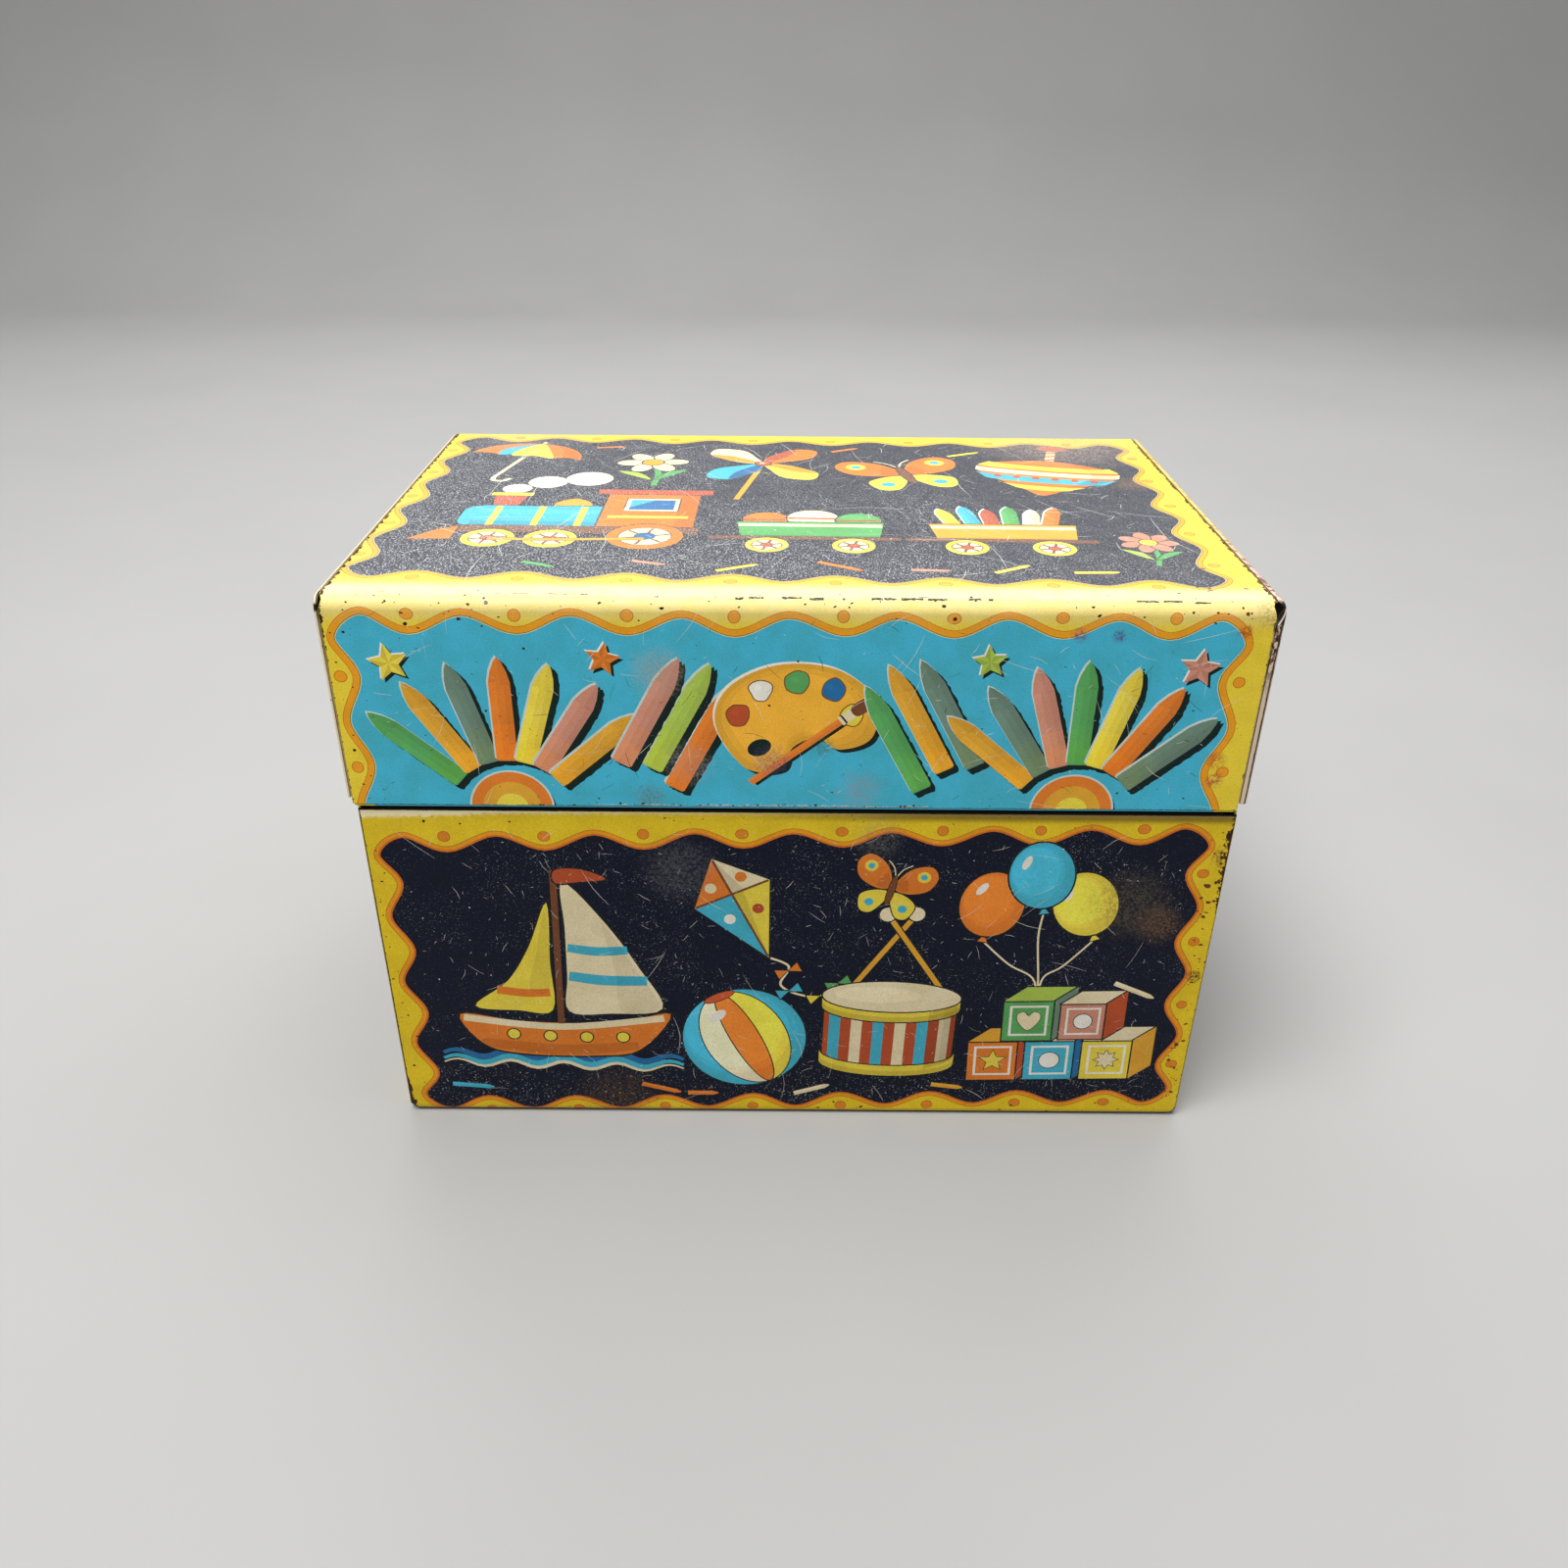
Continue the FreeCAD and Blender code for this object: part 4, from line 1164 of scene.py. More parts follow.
def base_edge_wear_and_shade(f, colour):
    """Base's upper front edge: painted shade in the gap under the lid, a pale band at the left that is worn edge and
    painted highlight of the shoulder's bend, and a brown band to the right that is painted shadow of the lid; its
    lowest edge a painted contact shadow.
    """
    in_front = f.math("LESS_THAN", f.y, BASE_FRONT + 0.8)
    depth = f.math("SUBTRACT", SHOULDER, f.z)
    ragged = f.noise(0.9, 4.0, 0.7, offset=33.0)
    # Pale band at the left under the shoulder: worn edge, and painted highlight of the shoulder's bend.
    pale_width = f.ramp(f.x, -64.0, -40.0, 1.5, 0.7)
    pale = f.ramp(f.math("SUBTRACT", f.math("MULTIPLY_ADD", ragged, 1.6, pale_width), depth), 0.5, 1.3)
    pale = f.math("MULTIPLY", pale, f.ramp(f.x, -58.0, 0.0, 0.9, 0.3))
    colour = f.mix(f.math("MULTIPLY", pale, in_front), colour, linear((250, 236, 190)))
    # Painted shadow of the lid: a brown band under the shoulder, growing to the right.
    shade = f.math("MULTIPLY", f.ramp(depth, 2.0, 0.8, 0.0, 0.7), f.ramp(f.x, -20.0, 25.0))
    colour = f.mix(f.math("MULTIPLY", shade, in_front), colour, linear((92, 66, 18)))
    # Painted shade of the gap just under the shoulder, and painted contact shadow along the lowest edge.
    dark = f.ramp(f.math("SUBTRACT", f.math("MULTIPLY_ADD", ragged, 0.25, 0.12), depth), 0.0, 0.1)
    contact_shadow = f.ramp(f.math("SUBTRACT", f.math("MULTIPLY_ADD", ragged, 0.7, 0.35), f.z), 0.0, 0.2)
    shown = f.math("MULTIPLY", f.math("MAXIMUM", dark, f.math("MULTIPLY", contact_shadow, 0.8)), in_front)
    return f.mix(shown, colour, linear((30, 18, 12)))


def lid_edge_wear_and_gap_shade(f, colour):
    """Lid's lower front edge, worn to a thin pale line in its middle stretch, with a thin dark line at its foot that
    is painted shade of the gap below.
    """
    height = f.math("SUBTRACT", f.z, LID_LINE + HEM_RADIUS)
    in_front = f.math("LESS_THAN", f.y, FRONT + 1)
    stretch = f.ramp(f.math("ABSOLUTE", f.math("ADD", f.x, 4.0)), 34.0, 20.0, 0.1, 1.0)
    ragged = f.ramp(f.noise(0.5, 4.0, 0.75, offset=23.0), 0.36, 0.66)
    reach = f.math("MULTIPLY", f.math("MULTIPLY", ragged, stretch), 0.62)
    shown = f.math("MULTIPLY", f.ramp(f.math("SUBTRACT", reach, height), 0.0, 0.2, 0.0, 0.8), in_front)
    colour = f.mix(shown, colour, linear((206, 190, 176)))
    # Painted shade of the gap under the lid: a thin dark line along the print's foot.
    line = f.ramp(f.math("SUBTRACT", f.math("MULTIPLY_ADD", ragged, 0.1, 0.08), height), 0.0, 0.08)
    return f.mix(f.math("MULTIPLY", line, in_front), colour, linear((34, 24, 18)))


def stain(centre, radius, tone, share, grain_size=1.2, amount=4.0, soft=0.7):
    """A mark of its own tone round a place."""
    def mark(f, colour):
        ragged = f.noise(grain_size, 4.0, 0.7, offset=centre[0])
        fine = f.noise(0.4, 3.0, 0.7, offset=centre[0] + 7)
        spread = f.math("MULTIPLY", f.spot(centre, radius, soft, ragged, amount), f.ramp(fine, 0.43, 0.58, 0.15, 1.0))
        return f.mix(f.math("MULTIPLY", spread, share), colour, linear(tone))
    return mark


def left_lid_rim(f, colour):
    """Thin rim rubbed to cream, with a few dark specks and a dark corner."""
    specks = f.ramp(f.noise(0.9, 4.0, 0.7, offset=83.0), 0.62, 0.68)
    colour = f.mix(0.9, colour, f.mix(specks, CREAM, DARK))
    corner = f.spot((-LID_SIDE, FRONT + 0.3, TOP - 1.6), 0.8, 0.4, f.noise(0.7, 3.0, 0.7), 0.5)
    return f.mix(corner, colour, DARK)


def right_lid_rim(f, colour):
    """Broad rim, rusted and rubbed to cream: dark down the front, pinkish with brown marks on top, and a pale sliver
    near the front corner that is a painted highlight of a curled tab.
    """
    in_front = f.ramp(f.math("SUBTRACT", f.y, FRONT), 1.6, 0.9)
    patches = f.ramp(f.noise(1.2, 4.0, 0.75, stretch=(1, 1, 0.6), offset=91.0), 0.47, 0.53)
    upper = f.ramp(f.z, TOP - 15.0, TOP - 7.0)
    ragged = f.noise(0.8, 3.0, 0.7, stretch=(1, 1, 0.5), offset=52.0)
    off_line = f.math("ABSOLUTE", f.math("SUBTRACT", f.math("MULTIPLY_ADD", ragged, 0.3, LID_SIDE - 0.62), f.x))
    line = f.ramp(off_line, 0.17, 0.09)
    streaks = f.math("MAXIMUM", line, f.math("MULTIPLY", f.math("SUBTRACT", 1.0, patches), upper))
    front_tone = f.mix(streaks, linear((222, 198, 170)), linear((70, 42, 28)))
    brown = f.ramp(f.noise(1.3, 4.0, 0.75, offset=83.0), 0.5, 0.58)
    top_tone = f.mix(brown, linear((214, 184, 164)), linear((116, 70, 46)))
    near = f.ramp(f.math("SUBTRACT", f.y, FRONT), 44.0, 10.0, 0.45, 1.0)
    colour = f.mix(near, colour, top_tone)
    colour = f.mix(in_front, colour, front_tone)
    corner = f.spot((LID_SIDE - 0.3, FRONT + 0.4, TOP - 1.4), 2.2, 0.4, f.noise(0.7, 3.0, 0.7), 1.2)
    colour = f.mix(corner, colour, linear((44, 28, 20)))
    # Painted highlight of a curled tab: a pale sloping sliver near the front corner.
    risen = f.math("SUBTRACT", f.z, TOP - 3.2)
    off_sliver = f.math("ABSOLUTE", f.math("SUBTRACT", f.math("SUBTRACT", f.x, LID_SIDE - 1.1),
                                           f.math("MULTIPLY", risen, 0.42)))
    tab_highlight = f.math("MULTIPLY", f.ramp(off_sliver, 0.2, 0.1), f.ramp(f.math("ABSOLUTE", f.math(
        "SUBTRACT", risen, 1.2)), 1.2, 1.0))
    return f.mix(f.math("MULTIPLY", tab_highlight, in_front), colour, linear((236, 226, 212)))


def base_rim(f, colour):
    """Thin rim with its print worn along the front, to cream high up and to rust below."""
    in_front = f.ramp(f.math("SUBTRACT", f.y, BASE_FRONT), 1.4, 0.9)
    worn = f.ramp(f.noise(1.4, 4.0, 0.7, stretch=(1, 1, 0.5), offset=71.0), 0.36, 0.46)
    rusty = f.ramp(f.math("MULTIPLY_ADD", f.noise(2.0, 3.0, 0.7, offset=5.0), 24.0, f.z), 66.0, 50.0)
    tone = f.mix(rusty, linear((204, 182, 156)), linear((56, 36, 24)))
    return f.mix(f.math("MULTIPLY", in_front, f.math("MAXIMUM", worn, 0.7)), colour, tone)


def lid_hem_and_foot_shade(f, colour):
    """Lid's lower edge, blue between the yellow corners, painted dark at its very foot as shade of the gap under it.
    """
    on_hem = f.math("MULTIPLY", f.math("LESS_THAN", f.z, LID_LINE + 0.6), f.math("LESS_THAN", f.y, FRONT + 2))
    between = f.math("LESS_THAN", f.math("ABSOLUTE", f.math("ADD", f.x, 0.5)), 62.4)
    colour = f.mix(f.math("MULTIPLY", on_hem, between), colour, linear(INKS["sky"]))
    # Painted shade: the hem's very foot darkened.
    return f.mix(f.ramp(f.z, LID_LINE + 0.18, LID_LINE + 0.08), colour, linear((22, 15, 11)))


def shoulder_shade(f, colour):
    """Base's stepped shoulder, painted near-black as shade under the lid."""
    # Painted shade: the shoulder near-black below the lid's line.
    return f.mix(f.ramp(f.z, SHOULDER - 0.5, SHOULDER - 0.25), colour, linear((22, 15, 11)))


def plate_finish(name, middle, cut_edges, printed_from, printed_to, rim=None):
    """CAD sheet: yellow print outside, bare tinplate inside, rust and primer on its cut edges."""
    f = Finish(name)
    aged_yellow, grain, mottle = aged(f, linear(INKS["yellow"]))
    if rim:
        aged_yellow = rim(f, aged_yellow)
    around = f.nodes.new("ShaderNodeVectorMath")
    around.operation = "SUBTRACT"
    f.links.new(f.place, around.inputs[0])
    around.inputs[1].default_value = middle
    geometry = f.nodes.new("ShaderNodeTexCoord")
    outward = f.nodes.new("ShaderNodeVectorMath")
    outward.operation = "DOT_PRODUCT"
    f.links.new(around.outputs[0], outward.inputs[0])
    f.links.new(geometry.outputs["Normal"], outward.inputs[1])
    outside = f.math("GREATER_THAN", outward.outputs["Value"], 0.0)
    way = f.nodes.new("ShaderNodeSeparateXYZ")
    f.links.new(geometry.outputs["Normal"], way.inputs[0])
    level = f.math("MULTIPLY", f.math("GREATER_THAN", f.z, printed_from), f.math("LESS_THAN", f.z, printed_to))
    printed = f.math("MULTIPLY", outside, level)
    spangle = f.noise(3.2, 3.0, 0.6, stretch=(1, 1, 0.35), offset=41.0)
    tin = f.mix(f.ramp(spangle, 0.3, 0.7), linear((166, 164, 158)), linear((206, 203, 196)))
    tin = f.mix(f.ramp(f.noise(1.1, 4.0, 0.7, offset=61.0), 0.62, 0.74, 0.0, 0.55), tin, RUST)
    colour = f.mix(printed, tin, aged_yellow)
    if cut_edges:
        cut = f.math("GREATER_THAN", f.math("ABSOLUTE", way.outputs[0]), 0.6)
        raw = f.mix(f.ramp(f.noise(0.9, 4.0, 0.7, offset=77.0), 0.4, 0.6), CREAM, DARK)
        colour = f.mix(cut, colour, raw)
        metal_share = f.math("MULTIPLY", f.math("SUBTRACT", 1.0, printed), f.math("SUBTRACT", 1.0, cut))
    else:
        metal_share = f.math("SUBTRACT", 1.0, printed)
    f.put(f.shader.inputs["Base Color"], colour)
    f.put(f.shader.inputs["Metallic"], metal_share)
    varnish(f, grain, mottle)
    return f.material


def wire_finish():
    """Dull drawn steel wire with brown stains."""
    f = Finish("steel_wire")
    drawn = f.noise(0.3, 2.0, 0.5, stretch=(0.05, 1, 1))
    stains = f.ramp(f.noise(2.0, 3.0, 0.6, offset=13.0), 0.5, 0.66, 0.0, 0.8)
    colour = f.mix(f.ramp(drawn, 0.3, 0.7), linear((120, 118, 114)), linear((170, 168, 164)))
    f.put(f.shader.inputs["Base Color"], f.mix(stains, colour, RUST))
    f.put(f.shader.inputs["Metallic"], f.math("SUBTRACT", 1.0, stains))
    f.put(f.shader.inputs["Roughness"], f.ramp(drawn, 0.2, 0.8, 0.3, 0.5))
    f.put(f.shader.inputs["Normal"], f.bump(drawn, 0.3, 0.00003))
    return f.material


# Panels

def scattered(places, seed):
    """Small loose crayons at the places given."""
    inks = ["tangerine", "cream", "sky", "lemon", "rose", "leaf", "gold"]
    chance = random.Random(seed)
    result = []
    for x, y in places:
        result += stick(x, y, chance.uniform(-32, 32), chance.choice(inks), chance.uniform(5.0, 7.5))
    return result


def lid_front_art():
    """Sky blue panel with crayons in fans and bundles, stars and a palette, in (x, z)."""
    chance = random.Random(5)
    shapes = border(-64.9, 43.9, 62.1, 92.3, 8, 3, "sky", LID_LAYERS, ("high", "left", "right"), 11)
    shapes += rising_sun(-42.4, 61.3) + rising_sun(40.6, 61.3)
    shapes += fan(-42.4, 60.0, ["leaf", "gold", "sage", "tangerine", "lemon", "rose", "gold"], 17.4, 98, 16.5,
                  chance=chance)
    shapes += bundle(-17.6, 75.2, ["tangerine", "lime", "rose"], 62, 4.3, 19.0, chance)
    shapes += raised_star(-57.5, 84.6, 3.0, "lemon", 100) + raised_star(-27.6, 85.4, 2.6, "tangerine", 80)
    shapes += placed(palette(1.2), -0.6, 75.8, turn=6)
    shapes += bundle(17.6, 75.2, ["sage", "gold", "leaf"], 118, 4.3, 19.0, chance)
    shapes += raised_star(26.6, 85.4, 2.6, "lime", 96) + raised_star(56.0, 84.6, 3.0, "rose", 84)
    shapes += fan(40.6, 60.0, ["gold", "sage", "rose", "leaf", "lemon", "tangerine", "sage"], 17.4, 98, 16.5,
                  chance=chance)
    shapes += scratches(-62, 62, 61, 92, 150, 8.0, 21, 0.05)
    shapes += scratches(-62, 62, 61, 92, 70, 4.0, 22, 0.06, "shadow")
    shapes += chips(-60, 62, 60, 92, 60, 0.16, 23)
    return shapes


def lid_top_art():
    """Navy panel with a toy train, windmill, top, parasol and flowers, in (x, y)."""
    shapes = border(-63.4, -37.6, 63.4, 39.2, 8, 5, "navy", TOP_LAYERS, ("low", "left", "right", "high"), 12)
    shapes += placed(engine(), -31.5, -16.4, 1.14)
    shapes += placed(wagon("leaf", "balls"), 3.6, -17.4, 1.1)
    shapes += placed(wagon("gold", "crayons"), 34.0, -17.4, 1.1)
    shapes += placed(umbrella(), -49.0, 25.6, 1.1, -12) + placed(pinwheel(), -5.0, 23.0, 1.16, -10)
    shapes += placed(spinning_top(), 45.6, 18.6, 1.2, -12) + placed(butterfly(), 20.5, 17.0, 1.4, 14)
    shapes += placed(flower(), -25.0, 23.0, 1.8, 6) + placed(flower("rose", "lemon", 7), 55.4, -18.0, 1.3, -4)
    shapes += scattered([(-20, -30), (-7, -31.5), (8, -30.4), (21, -31.6), (33, -30.6), (45, -31.6), (-36, -31.2),
                         (32, 31), (-34, 33), (10, 33)], 3)
    shapes = placed(shapes, -1.6, 0.0, turn=-1.0)
    shapes += scratches(-61, -34, 59, 37, 230, 13.0, 31, 0.08) + scratches(-61, -34, 59, 37, 330, 4.0, 34, 0.08)
    shapes += chips(-60, -34, 58, 36, 240, 0.14, 32, "scratch")
    return shapes


def base_front_art():
    """Navy panel with a boat, ball, kite, drum, blocks and balloons, in (x, z)."""
    tilt = 1.25
    shapes = border(-63.5, -28.0, 63.4, 27.7, 8, 4, "navy", BASE_LAYERS, ("high", "right", "low"), 13)
    shapes += placed(sailboat(), -38.6, -8.6, 1.34, -3) + placed(striped_ball(10.2), -8.6, -12.6)
    shapes += placed(kite(), -8.4, 13.4, 0.98, 24) + placed(drum(), 15.4, -10.0, 1.14, -3)
    shapes += placed(balloons(), 38.0, 9.4, 1.12, 3) + placed(blocks(), 40.0, -14.4, 0.98)
    shapes += placed(butterfly(), 15.0, 16.6, 0.8, -16)
    shapes += scattered([(-23, -23.4), (-16, -24.6), (-55, -22.4), (2.5, -24.0), (25.5, -23.6), (55, -3.5)], 4)
    shapes = placed(shapes, 0.0, 29.5, turn=tilt)
    shapes += scratches(-60, 3, 60, 57, 130, 8.0, 41, 0.06) + scratches(-60, 3, 60, 57, 420, 2.6, 47, 0.05)
    shapes += chips(-60, 3, 60, 57, 300, 0.1, 46, "scratch")
    return shapes


def back_art(wide, high, ground, seed):
    """Border for a back panel, drawn upright about its middle; the caller adds the toys in another order."""
    layers = BASE_LAYERS if ground == "navy" else LID_LAYERS
    across, along = 8, max(2, round(high / 15))
    shapes = border(-wide / 2, -high / 2, wide / 2, high / 2, across, along, ground, layers,
                    ("high", "left", "right", "low"), seed)
    return shapes


def base_back_art():
    shapes = back_art(122.0, 50.0, "navy", 14)
    shapes += placed(drum(), -44, -5.0) + placed(kite(), -17, 7.0, 0.9, -20) + placed(blocks(), 8, -9.0, 0.95)
    shapes += placed(striped_ball(8.4, -30), 32.0, -9.0) + placed(pinwheel(), 48.0, 6.0, 0.9, 8)
    shapes += placed(butterfly(), 24.0, 12.0, 0.8, 10) + placed(flower(), -31, -6.0, 0.9)
    return shapes + scratches(-58, -24, 58, 24, 120, 8.0, 42, 0.1)


def lid_back_art():
    chance = random.Random(6)
    shapes = back_art(124.0, 25.0, "sky", 15)
    inks = ["tangerine", "lime", "sage", "lemon", "rose", "leaf", "gold"]
    for i in range(7):
        x = -46.5 + 15.5 * i
        if i % 2:
            shapes += raised_star(x, 0, 4.2, inks[i])
        else:
            shapes += bundle(x, 0, [inks[i], inks[(i + 3) % 7], inks[(i + 5) % 7]], 90, 3.4, 15.5, chance)
    return shapes + scratches(-58, -11, 58, 11, 50, 7.0, 43, 0.08)


def base_end_art(seed):
    shapes = border(-38.5, 5.0, 38.5, 54.5, 5, 3, "navy", BASE_LAYERS, ("high", "left", "right", "low"), seed)
    if seed % 2:
        shapes += placed(sailboat(), -15.0, 21.0, 1.0) + placed(striped_ball(8.0, 40), 18.0, 20.0)
        shapes += placed(kite(), 16.0, 41.0, 0.62, 18)
    else:
        shapes += placed(spinning_top(), -17.0, 28.0, 1.0, 8) + placed(balloons(), 7.0, 34.0, 0.95)
        shapes += placed(flower(), 25.0, 26.0, 1.3)
    shapes += scattered([(-26, 12.6), (-3, 11.4), (8, 12.4), (29, 12.0)], seed)
    return shapes + scratches(-36, 6, 36, 53, 90, 8.0, seed + 30, 0.1)


def lid_end_art(seed):
    chance = random.Random(seed)
    shapes = border(-39.5, 47.5, 39.5, 90.0, 5, 3, "sky", LID_LAYERS, ("high", "left", "right"), seed)
    shapes += fan(-20.0, 62.5, ["rose", "leaf", "tangerine", "sage", "lemon"], 13.5, 110, 15.5, chance=chance)
    shapes += fan(20.0, 62.5, ["lemon", "tangerine", "lime", "rose", "sage"], 13.5, 110, 15.5, chance=chance)
    shapes += raised_star(0, 77.0, 4.4, "lemon")
    return shapes + scratches(-36, 62, 36, 90, 50, 7.0, seed + 40, 0.08)


def make_prints():
    lid_start = LID_LINE + HEM_RADIUS
    lid_run = TOP - LID_BEND - lid_start
    quarter = math.pi / 2
    top_run = BACK - FRONT - 2 * LID_BEND
    lid_strip = BentStrip((FRONT, lid_start), (0, 1), [
        (lid_run, 0), (quarter * LID_BEND, LID_BEND), (top_run, 0), (quarter * LID_BEND, LID_BEND),
        (TOP - LID_BEND - PIN_Z - HINGE_CUT - SKIN_MARGIN, 0)])
    top_start = lid_run + quarter * LID_BEND - (FRONT + LID_BEND)
    trim = EDGE_TRIM - HEM_RADIUS
    outline = wrap_outline(LID_LEFT, LID_RIGHT, lid_strip, LID_BEND, LID_NOTCH, trim)
    shapes = placed(lid_front_art(), 0, -lid_start) + placed(lid_top_art(), 0, top_start)
    back_middle = lid_strip.length - 15.2
    shapes += placed(lid_back_art(), 0, back_middle, turn=180)
    arc = lid_run + quarter * LID_BEND / 2
    shapes += broken_line(-9, 26, arc + 0.75, 1.2, 51, high=0.26) + broken_line(46, 58, arc + 0.6, 2.0, 52, high=0.22)
    shapes += broken_line(-42, -30, arc + 1.4, 3.4, 57) + broken_line(-26, 20, arc + 1.3, 7.0, 53, high=0.1)
    shapes += chips(-62, arc - 2.4, 62, arc + 2.6, 70, 0.26, 54) + chips(-64, arc - 4, -40, arc + 3, 26, 0.24, 55)
    shapes += chips(-40, 0.05, 20, 0.5, 60, 0.2, 56) + chips(52, arc - 3, 64, arc + 22, 34, 0.34, 58, "rust")
    shapes += chips(-65, 0.2, -61, lid_run, 20, 0.2, 59)
    marks = [top_sheen_speckle, bend_highlight_and_wear, lid_edge_wear_and_gap_shade,
             stain((44.0, FRONT, 89.4), 1.3, (86, 40, 120), 0.8, 0.7, 1.0),
             stain((38.6, FRONT, 89.6), 1.5, (110, 50, 110), 0.7, 0.7, 1.0),
             stain((61.4, FRONT, 90.3), 1.4, (150, 20, 30), 0.8, 0.8, 1.0),
             stain((60.6, FRONT, 70.0), 2.0, (180, 40, 40), 0.6, 0.8, 1.4),
             stain((61.0, FRONT, 66.8), 1.7, (170, 20, 60), 0.75, 0.8, 1.4),
             stain((-20.0, FRONT, 83.5), 5.0, (176, 160, 140), 0.55, 0.9, 5.0),
             stain((-16.0, FRONT, 69.0), 4.5, (170, 160, 150), 0.4, 0.8, 5.0),
             # Broad pale patches at the top's back corners: smudges, and painted haze of sheen on the varnish.
             stain((50.0, 38.0, TOP), 20.0, (176, 156, 142), 0.62, 3.0, 14.0),
             stain((-52.0, 40.0, TOP), 14.0, (150, 146, 142), 0.4, 3.0, 12.0),
             stain((58.5, 12.0, TOP), 5.0, (150, 112, 84), 0.5, 1.2, 5.0),
             stain((66.0, FRONT + 1, TOP - 1), 5.0, (120, 84, 44), 0.45, 0.9, 4.0),
             stain((-4.0, FRONT, 69.5), 3.4, (92, 74, 116), 0.55, 0.7, 4.0),
             stain((9.0, FRONT, 64.5), 4.4, (150, 142, 138), 0.5, 0.7, 5.0),
             stain((-22.0, FRONT, 63.2), 3.0, (110, 84, 70), 0.5, 0.7, 3.0),
             stain((3.5, FRONT, 72.0), 2.2, (60, 90, 60), 0.5, 0.7, 2.0)]
    printed_skin("lid_print", outline, shapes, lid_strip, "lid",
                 print_finish("lid_print", (LID_LEFT, LID_RIGHT, (0.13, TOP, 12.0, 0.5), (0.08, TOP, 9.0, 0.4)),
                              marks))

    back_run = PIN_Z - HINGE_CUT - SKIN_MARGIN - BASE_BEND
    bottom_run = BACK - BASE_FRONT - 2 * BASE_BEND
    front_run = SHOULDER - JOGGLE - BASE_BEND
    base_strip = BentStrip((BACK, PIN_Z - HINGE_CUT - SKIN_MARGIN), (0, -1), [
        (back_run, 0), (quarter * BASE_BEND, BASE_BEND), (bottom_run, 0), (quarter * BASE_BEND, BASE_BEND),
        (front_run, 0)])
    front_start = base_strip.length - front_run - BASE_BEND
    outline = wrap_outline(BASE_LEFT, BASE_RIGHT, base_strip, BASE_BEND, BASE_NOTCH, 0.0)
    shapes = placed(base_front_art(), 0, front_start)
    shapes += placed(base_back_art(), 0, back_run - 28.0, turn=180)
    low_bend = base_strip.length - front_run - quarter * BASE_BEND / 2
    shapes += scratches(-62, back_run + 4, 62, back_run + bottom_run - 2, 160, 22.0, 61, 0.12)
    shapes += chips(-63, low_bend - 1.5, 63, low_bend + 3.5, 70, 0.24, 62)
    shapes += chips(-65, front_start + 4, -62.5, front_start + 58, 26, 0.22, 63)
    shapes += chips(62.5, front_start + 4, 65, front_start + 58, 60, 0.34, 64, "rust")
    shapes += chips(-62, front_start + 58, 63, front_start + 60, 30, 0.2, 65)
    marks = [base_speckle, base_edge_wear_and_shade,
             stain((52.0, BASE_FRONT, 44.0), 8.0, (96, 84, 60), 0.5, 0.8, 8.0),
             stain((57.0, BASE_FRONT, 40.5), 4.6, (110, 82, 56), 0.75, 0.8, 4.0),
             stain((64.2, BASE_FRONT, 30.2), 1.5, (76, 36, 22), 0.95, 0.5, 1.0, 0.4),
             stain((64.8, BASE_FRONT, 53.0), 2.4, (120, 74, 40), 0.8, 0.8, 2.0),
             stain((12.0, BASE_FRONT, 56.0), 5.0, (120, 116, 108), 0.3, 0.7, 6.0),
             stain((-18.0, BASE_FRONT, 50.0), 7.0, (110, 108, 110), 0.35, 0.6, 8.0),
             stain((-30.0, BASE_FRONT, 3.0), 9.0, (110, 80, 40), 0.35, 0.9, 8.0)]
    # Painted shade: the base's inks are tinted a little darker than the lid's.
    printed_skin("base_print", outline, shapes, base_strip, "base",
                 print_finish("base_print", (BASE_LEFT, BASE_RIGHT, (0.24, 0.0, 10.0, 1.0), (0.14, 53.0, 12.0, 1.1)), marks,
                              (0.88, 0.86, 0.84)), "ochre")

    lid_panels = {way: lid_end_outline(radius) for way, radius in ((-1, LEFT_RIM_RADIUS), (1, RIGHT_RIM_RADIUS))}
    base_inset = BASE_RIM_RADIUS + BASE_PAN_INSET
    base_panel = end_outline(base_inset, base_inset, NECK_FRONT)
    finish = print_finish("end_print", None, [])
    for side_name, way, seed in (("left", -1, 72), ("right", 1, 73)):
        for part, x, panel, art in (("lid", LID_SIDE, lid_panels[way], lid_end_art(seed)),
                                    ("base", BASE_SIDE, base_panel, base_end_art(seed))):
            outline = [(y * way, z) for y, z in panel]
            printed_skin(f"{part}_{side_name}_print", outline, art, FlatEnd(x * way), part, finish)


def lid_end_outline(radius):
    """Outline of a lid end's flat face inside a rim of the given radius, with its skirt's front corner trimmed."""
    m = SKIN_MARGIN
    low, high, top = FRONT + radius + m, BACK - radius - m, TOP - radius - m
    corner = LID_BEND - radius
    skirt = LID_LINE + HEM_RADIUS
    slope = (LID_PAN_EDGE - LID_LINE + 0.3) / SKIRT_TRIM
    trimmed = FRONT + (LID_PAN_EDGE - skirt) / slope + 4 * m
    skirt_front = FRONT + RIGHT_RIM_RADIUS + m
    points = [(trimmed, skirt), (ENDS_BACK - m, skirt), (ENDS_BACK - m, LID_PAN_EDGE + m), (high, LID_PAN_EDGE + m)]
    points += ellipse(high - corner, top - corner, corner, corner, 0, 6, 0, 90)
    points += ellipse(low + corner, top - corner, corner, corner, 0, 6, 90, 90)
    return points + [(low, LID_PAN_EDGE + m), (skirt_front, LID_PAN_EDGE)]


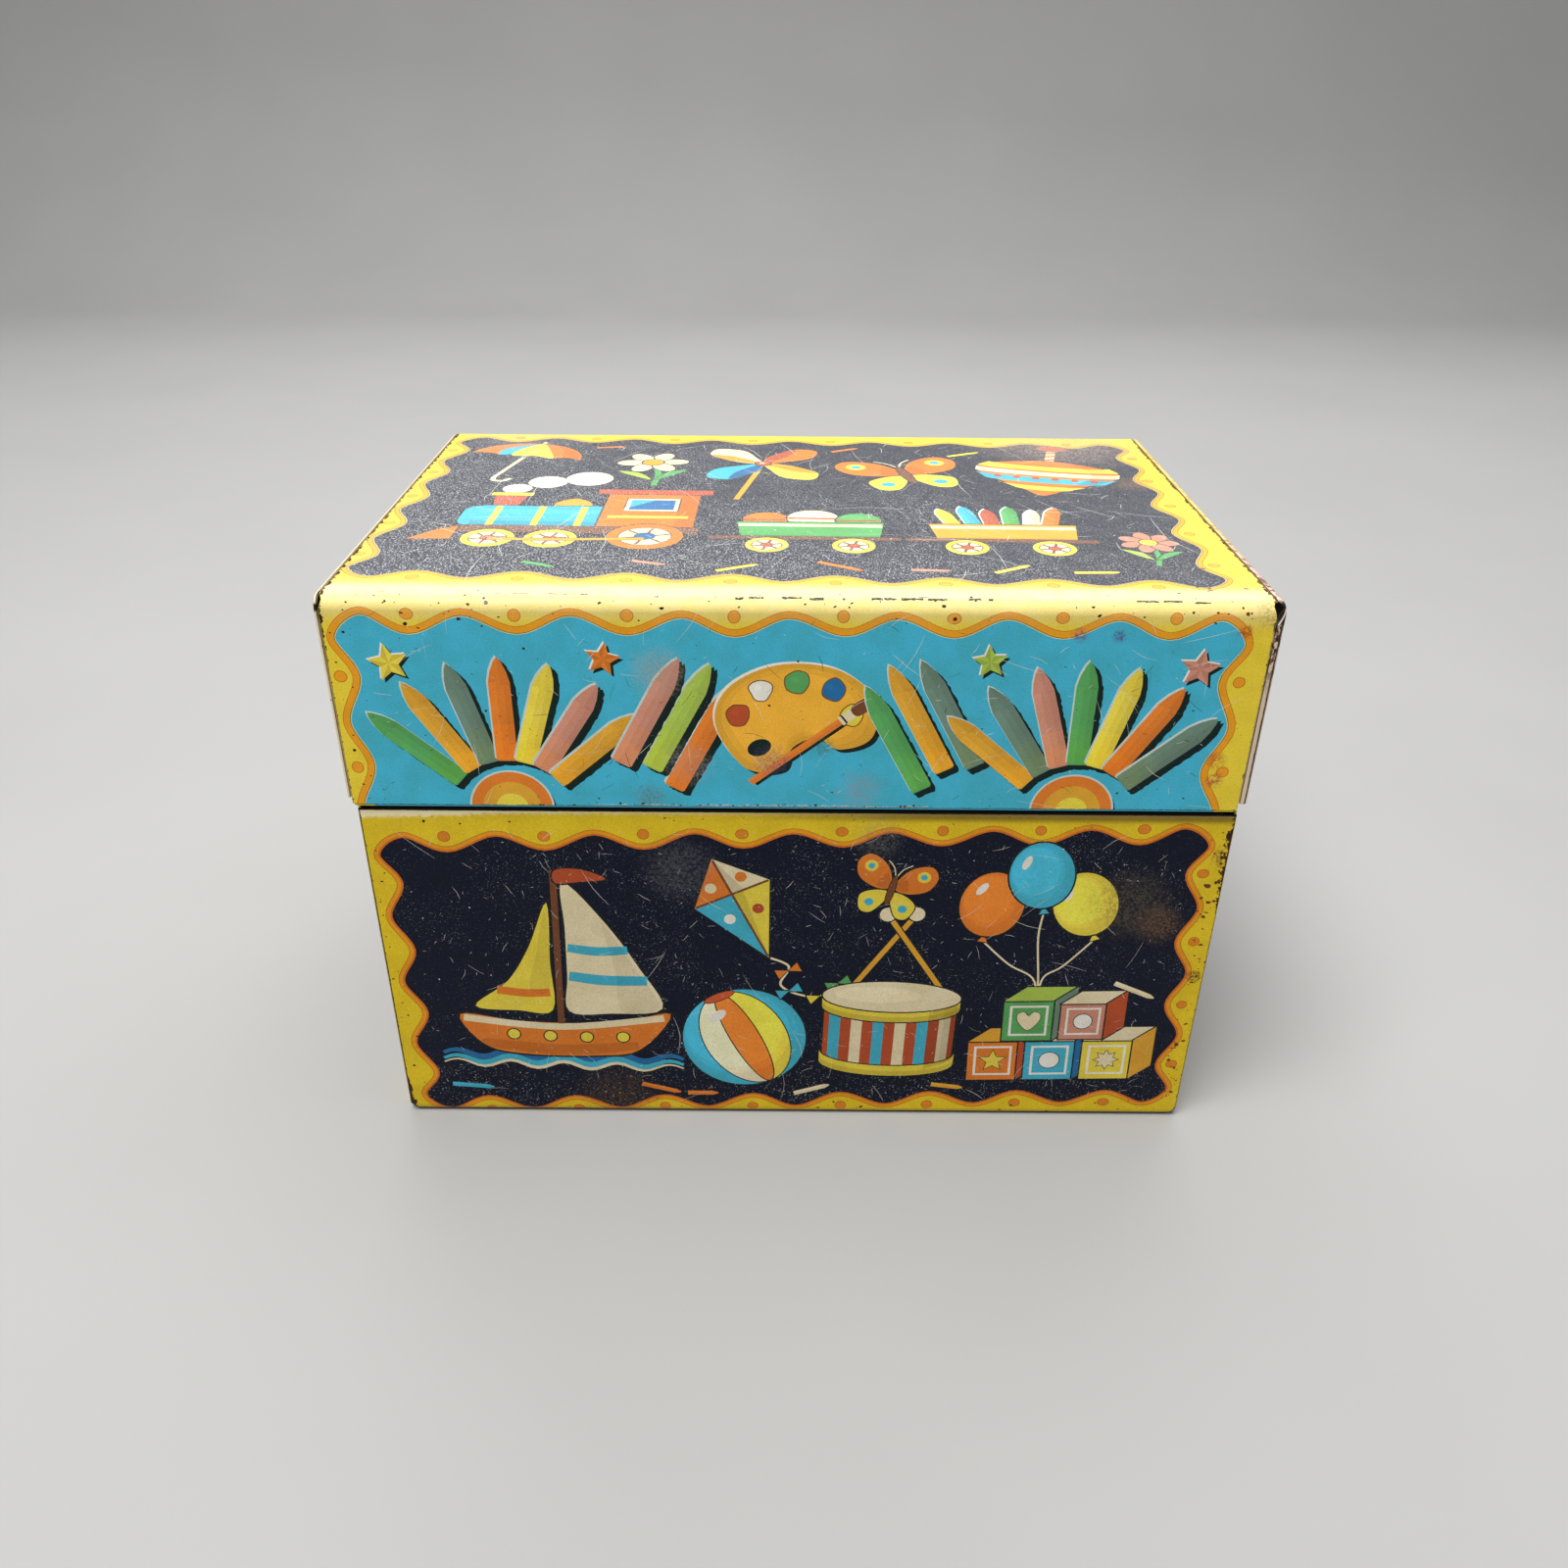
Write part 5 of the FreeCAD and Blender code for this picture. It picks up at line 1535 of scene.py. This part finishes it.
def end_outline(inset, closed, neck_front):
    """Outline of a base end's flat face, with two rounded corners and the narrower neck above."""
    m = SKIN_MARGIN
    low, high = BASE_FRONT + inset + m, BACK - inset - m
    corner = BASE_BEND - inset
    top = SHOULDER - JOGGLE
    points = [(neck_front + m, top), (ENDS_BACK - m, top), (ENDS_BACK - m, BASE_PAN_EDGE - m),
              (high, BASE_PAN_EDGE - m)]
    points += ellipse(high - corner, closed + corner + m, corner, -corner, 0, 6, 0, 90)
    points += ellipse(low + corner, closed + corner + m, corner, -corner, 0, 6, 90, 90)
    return points + [(low, BASE_PAN_EDGE - m), (neck_front + m, BASE_PAN_EDGE - m)]


def dress_sheets():
    """Finishes of the CAD pieces themselves."""
    base_middle, lid_middle = (0, 0, 40), (0, 0, 66)
    finishes = {
        "base_wrap": plate_finish("base_sheet", base_middle, True, -1, LID_LINE, shoulder_shade),
        "base_left_end": plate_finish("base_end_sheet", base_middle, False, -1, LID_LINE, base_rim),
        "lid_wrap": plate_finish("lid_sheet", lid_middle, True, LID_LINE - 1, TOP + 1, lid_hem_and_foot_shade),
        "lid_left_end": plate_finish("lid_left_sheet", lid_middle, False, LID_LINE - 1, TOP + 1, left_lid_rim),
        "lid_right_end": plate_finish("lid_right_sheet", lid_middle, False, LID_LINE - 1, TOP + 1, right_lid_rim),
        "hinge_pin": wire_finish(),
    }
    finishes["base_right_end"] = finishes["base_left_end"]
    for node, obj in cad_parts.items():
        obj.data.materials.clear()
        obj.data.materials.append(finishes[node])


# Studio

def make_camera():
    """Camera at the photograph's angle."""
    yaw, pitch, roll = (math.radians(a) for a in (CAMERA_YAW, CAMERA_PITCH, CAMERA_ROLL))
    forward = Vector((math.sin(yaw) * math.cos(pitch), math.cos(yaw) * math.cos(pitch), -math.sin(pitch)))
    level = Vector((math.cos(yaw), -math.sin(yaw), 0))
    up = level.cross(forward)
    right = math.cos(roll) * level + math.sin(roll) * up
    above = -math.sin(roll) * level + math.cos(roll) * up
    data = bpy.data.cameras.new("camera")
    data.sensor_width = SENSOR_WIDTH
    data.lens = FOCAL_PIXELS * SENSOR_WIDTH / IMAGE_SIDE
    data.clip_start = 0.01
    camera = bpy.data.objects.new("camera", data)
    camera.matrix_world = Matrix.Translation(Vector(CAMERA_PLACE) * MM) @ Matrix(
        (right, above, -forward)).transposed().to_4x4()
    bpy.context.scene.collection.objects.link(camera)
    bpy.context.scene.camera = camera


def make_light(name, place, target, wide, high, power, colour=(1.0, 1.0, 1.0)):
    data = bpy.data.lights.new(name, "AREA")
    data.shape = "RECTANGLE"
    data.size = wide
    data.size_y = high
    data.energy = power
    data.color = colour
    light = bpy.data.objects.new(name, data)
    light.location = place
    light.rotation_euler = (Vector(target) - Vector(place)).to_track_quat("-Z", "Y").to_euler()
    light.visible_camera = False
    bpy.context.scene.collection.objects.link(light)


def make_studio():
    """Pale floor that sweeps up into a backdrop, and soft lights from above left and behind."""
    half, back, radius, top = 2.2, 0.95, 0.22, 0.27
    profile = [(-1.6, 0.0), (back - radius, 0.0)]
    profile += [(back - radius + radius * math.sin(a), radius - radius * math.cos(a))
                for a in np.linspace(0, math.pi / 2, 20)[1:]]
    profile.append((back, top))
    verts = [(x, y, z) for y, z in profile for x in (-half, half)]
    faces = [(2 * i, 2 * i + 1, 2 * i + 3, 2 * i + 2) for i in range(len(profile) - 1)]
    mesh = bpy.data.meshes.new("floor")
    mesh.from_pydata(verts, [], faces)
    mesh.polygons.foreach_set("use_smooth", [True] * len(faces))
    floor = bpy.data.objects.new("floor", mesh)
    bpy.context.scene.collection.objects.link(floor)
    f = Finish("floor")
    cloud = f.noise(90.0, 3.0, 0.5)
    f.put(f.shader.inputs["Base Color"], f.mix(cloud, linear((164, 163, 161)), linear((172, 171, 169))))
    f.shader.inputs["Roughness"].default_value = 0.6
    f.shader.inputs["Specular IOR Level"].default_value = 0.2
    mesh.materials.append(f.material)
    world = bpy.data.worlds.new("studio")
    bpy.context.scene.world = world
    world.use_nodes = True
    world.node_tree.nodes["Background"].inputs["Color"].default_value = (0.9, 0.94, 1.0, 1.0)
    world.node_tree.nodes["Background"].inputs["Strength"].default_value = 0.25
    make_light("key", (-0.25, -0.32, 0.95), (0, 0, 0.05), 0.45, 0.45, 10.6)
    make_light("over", (0.1, 0.15, 0.95), (0, 0, 0.09), 1.0, 0.6, 4.5)
    make_light("behind", (0.05, 0.62, 0.55), (0, 0, 0.09), 1.1, 0.45, 3.4)
    bpy.context.scene.view_settings.view_transform = "Standard"


make_camera()
make_studio()
dress_sheets()
make_prints()
